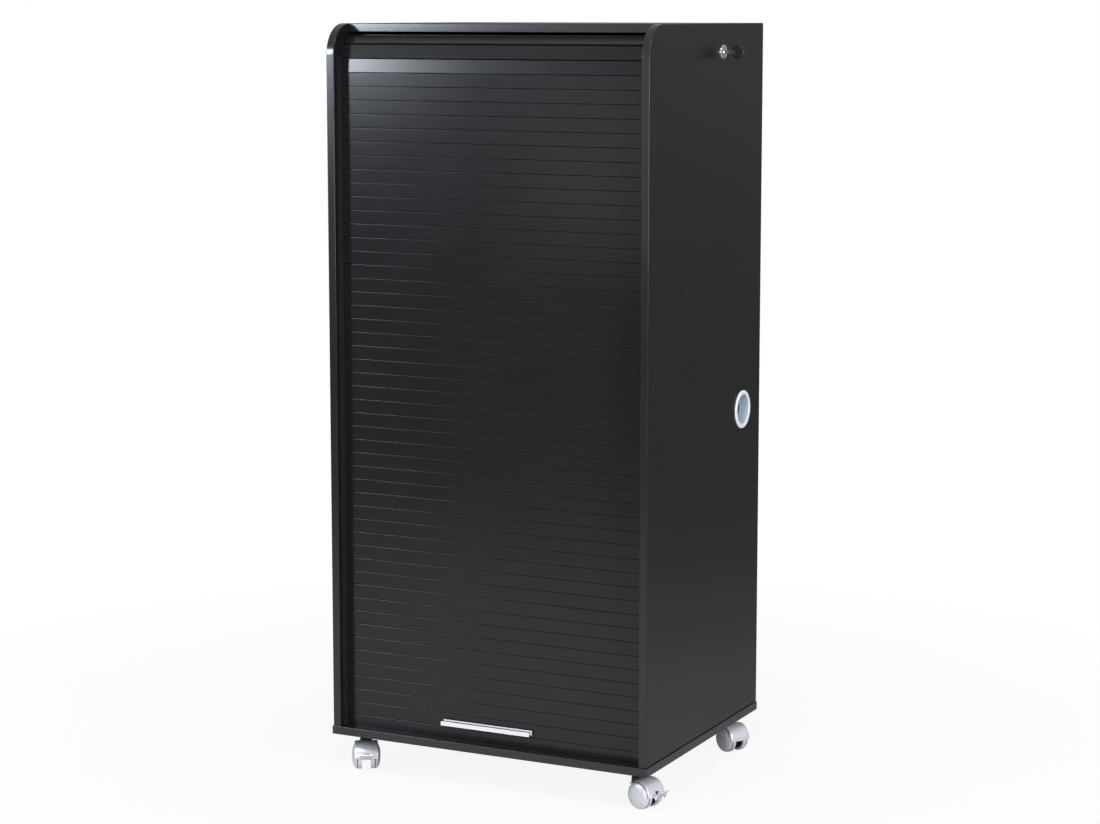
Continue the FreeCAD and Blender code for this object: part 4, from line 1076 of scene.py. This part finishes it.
def mounting_plate():
    """The pressed plate with rounded corners."""
    half = PLATE_HALF * MM
    piece = block("plate", (-half, -half, PLATE_UNDER * MM), (half, half, PLATE_TOP * MM))
    ease(piece, PLATE_CORNER * MM, 6, lambda edge: abs(edge.verts[0].co.z - edge.verts[1].co.z) > MM)
    return smooth(ease(piece, 0.4 * MM, 2, lambda edge: middle(edge).z < (PLATE_UNDER + 0.5) * MM))


def pan_screw(head_radius, head, shank_radius, shank):
    """A screw on Z: domed head below zero with a cross recess, shank above."""
    outline = [(0, -head), (head_radius * 0.45, -head), (head_radius * 0.8, -head * 0.8),
               (head_radius, -head * 0.3), (head_radius, 0), (shank_radius, 0),
               (shank_radius, shank - shank_radius), (0, shank)]
    piece = spun("screw", outline, steps=24)
    bar = head_radius * 0.16
    reach = head_radius * 0.55
    tools = [block("bar", (-reach, -bar, -head * 1.1), (reach, bar, -head * 0.45)),
             block("bar", (-bar, -reach, -head * 1.1), (bar, reach, -head * 0.45))]
    return smooth(carved(piece, tools))


wheel_pattern = wheel()
lever_pattern = painted(brake_lever(), LEVER_SILVER)
stem_pattern = painted(stem_and_cup(), DARK_STEEL)
plate_pattern = painted(mounting_plate(), DARK_STEEL)
screw_pattern = painted(
    pan_screw(head_radius=3.8 * MM, head=2 * MM, shank_radius=1.9 * MM, shank=13 * MM), DARK_STEEL)
stems, plates = [], []
for corner in CASTER_CORNERS:
    seat = caster_seat(corner)
    braked = corner in BRAKED_CORNERS
    cover = hood(braked)
    cover.name = cover.data.name = f"hood_{corner}_shown"
    moved(cover, seat)
    shown(cover, f"caster_{corner}", "caster_silver", f"hood_{corner}")
    for letter, turn in (("a", Matrix()), ("b", FLIPPED)):
        name = f"wheel_{corner}_{letter}"
        shown(copied(wheel_pattern, f"{name}_shown", seat @ turn), name, "caster_silver", name)
    if braked:
        lever = copied(lever_pattern, f"brake_lever_{corner}_shown", seat)
        shown(lever, f"brake_{corner}", "lever_silver", f"brake_lever_{corner}")
        repainted(f"brake_pin_{corner}", AXLE_STEEL)
    repainted(f"axle_{corner}", AXLE_STEEL)
    upright = Matrix.Translation(seat.to_translation())
    stems.append(copied(stem_pattern, "stem", upright))
    plates.append(copied(plate_pattern, "plate", upright))
screws = []
for corners in solids_of("caster_screws"):
    spot = sum(corners, Vector()) / len(corners)
    under_plate = Matrix.Translation((spot.x, spot.y, PLATE_UNDER * MM))
    screws.append(copied(screw_pattern, "caster_screw", under_plate))
shown(joined("caster_screws_shown", screws), "cabinet", "caster_dark", "caster_screws")
shown(joined("caster_stems_shown", stems), "cabinet", "caster_dark", "caster_stems")
shown(joined("caster_plates_shown", plates), "cabinet", "caster_dark", "caster_plates")
for pattern in (wheel_pattern, lever_pattern, stem_pattern, plate_pattern, screw_pattern):
    bpy.data.objects.remove(pattern)

# Fittings inside
for node in ("shelf_pins", "cam_locks", "cam_bolts", "base_screws", "handle_screws"):
    repainted(node, ZINC)


# Stage, light and camera

def floor_finish():
    """A pale floor that keeps the shadow near the cabinet and is as white as the background further out.

    To all but the camera it is a painted pool of light, darker away from the cabinet's front, which the
    cabinet mirrors.
    """
    finish = Finish("floor", Roughness=0.8)
    distance = finish.length(finish.place())
    from_light = finish.length(finish.place(shift=(0.2, 0.6, 0)))
    # Painted light: the floor's own colour is paler near a spot in front of the cabinet and darker further
    # out.
    painted_light_pool = finish.tint(finish.between(from_light, 0.1, 2.9), (0.68, 0.68, 0.68), (0.23, 0.23, 0.23))
    seen = finish.node("ShaderNodeLightPath", {}, {}, "Is Camera Ray")
    finish.coat_all(Base_Color=finish.tint(seen, painted_light_pool, (0.8, 0.8, 0.8)))
    white = finish.node("ShaderNodeEmission", {}, {"Color": (1, 1, 1), "Strength": 1.0})
    share = seen * (0.9 + finish.between(distance, 0.5, 1.8) * 0.1)
    finish.show(finish.node("ShaderNodeMixShader", {}, {0: share, 1: finish.lit, 2: white}))
    return finish.material


floor = added("floor", bpy.ops.mesh.primitive_circle_add, vertices=96, radius=9, fill_type="NGON")
floor.data.materials.append(floor_finish())


def studio_world():
    """White behind the cabinet; for the light and the reflections, a dim horizon under a brighter ceiling."""
    world = bpy.data.worlds.new("studio")
    bpy.context.scene.world = world
    sky = Network(world, "ShaderNodeOutputWorld")
    spot = sky.node("ShaderNodeTexCoord", {}, {}, "Generated")
    rise = sky.between(sky.node("ShaderNodeSeparateXYZ", {}, {0: spot}, "Z"), -0.2, 1)
    stops = [(0.05, (0.06, 0.062, 0.066)), (0.17, (0.28, 0.29, 0.305)), (0.9, (0.46, 0.47, 0.49))]
    glow = sky.node("ShaderNodeValToRGB", {"stops": stops}, {0: rise})
    light = sky.node("ShaderNodeBackground", {}, {"Color": glow})
    white = sky.node("ShaderNodeBackground", {}, {"Color": (1, 1, 1)})
    seen = sky.node("ShaderNodeLightPath", {}, {}, "Is Camera Ray")
    sky.show(sky.node("ShaderNodeMixShader", {}, {0: seen, 1: light, 2: white}))


studio_world()


def softbox(name, place, aim, width, height, power, tone=(1, 1, 1)):
    """A lamp with a lit face of a width and height in metres, aimed at a point."""
    data = bpy.data.lights.new(name, "AREA")
    data.shape = "RECTANGLE"
    data.size = width
    data.size_y = height
    data.energy = power
    data.color = tone
    lamp = bpy.data.objects.new(name, data)
    bpy.context.scene.collection.objects.link(lamp)
    lamp.location = place
    lamp.rotation_euler = (Vector(aim) - Vector(place)).to_track_quat("-Z", "Y").to_euler()


softbox("key_softbox", (-1.96, -2.62, 1.8), (-0.26, -0.2, 1.8),
        width=0.5, height=0.9, power=40, tone=(0.82, 0.89, 1.0))
softbox("fill_softbox", (-1.0, -2.9, 1.05), (0.2, -0.24, 1.2), width=0.5, height=0.6, power=0.4)
softbox("top_softbox", (0.6, -2.0, 3.4), (-0.2, -1.1, 0.0), width=1.2, height=1.2, power=34)
softbox("right_softbox", (3.1, -1.3, 1.5), (0.3, 0, 0.8), width=0.8, height=1.3, power=62)
softbox("front_softbox", (0.6, -5.5, 0.9), (0, 0, 0.4), width=2.0, height=0.9, power=42)


def stand_camera():
    """Seen from the right front, a little above the cabinet's top, with the verticals nearly upright."""
    data = bpy.data.cameras.new("view")
    data.sensor_width = 36
    data.lens = 86.06
    data.shift_y = -0.04
    data.clip_end = 50
    camera = bpy.data.objects.new("view", data)
    bpy.context.scene.collection.objects.link(camera)
    camera.location = (2.2398, -4.4927, 1.4543)
    camera.rotation_euler = (math.radians(90 - 7.75), 0, math.radians(26.461))
    bpy.context.scene.camera = camera


stand_camera()
bpy.context.scene.view_settings.view_transform = "Standard"

bpy.context.view_layer.update()
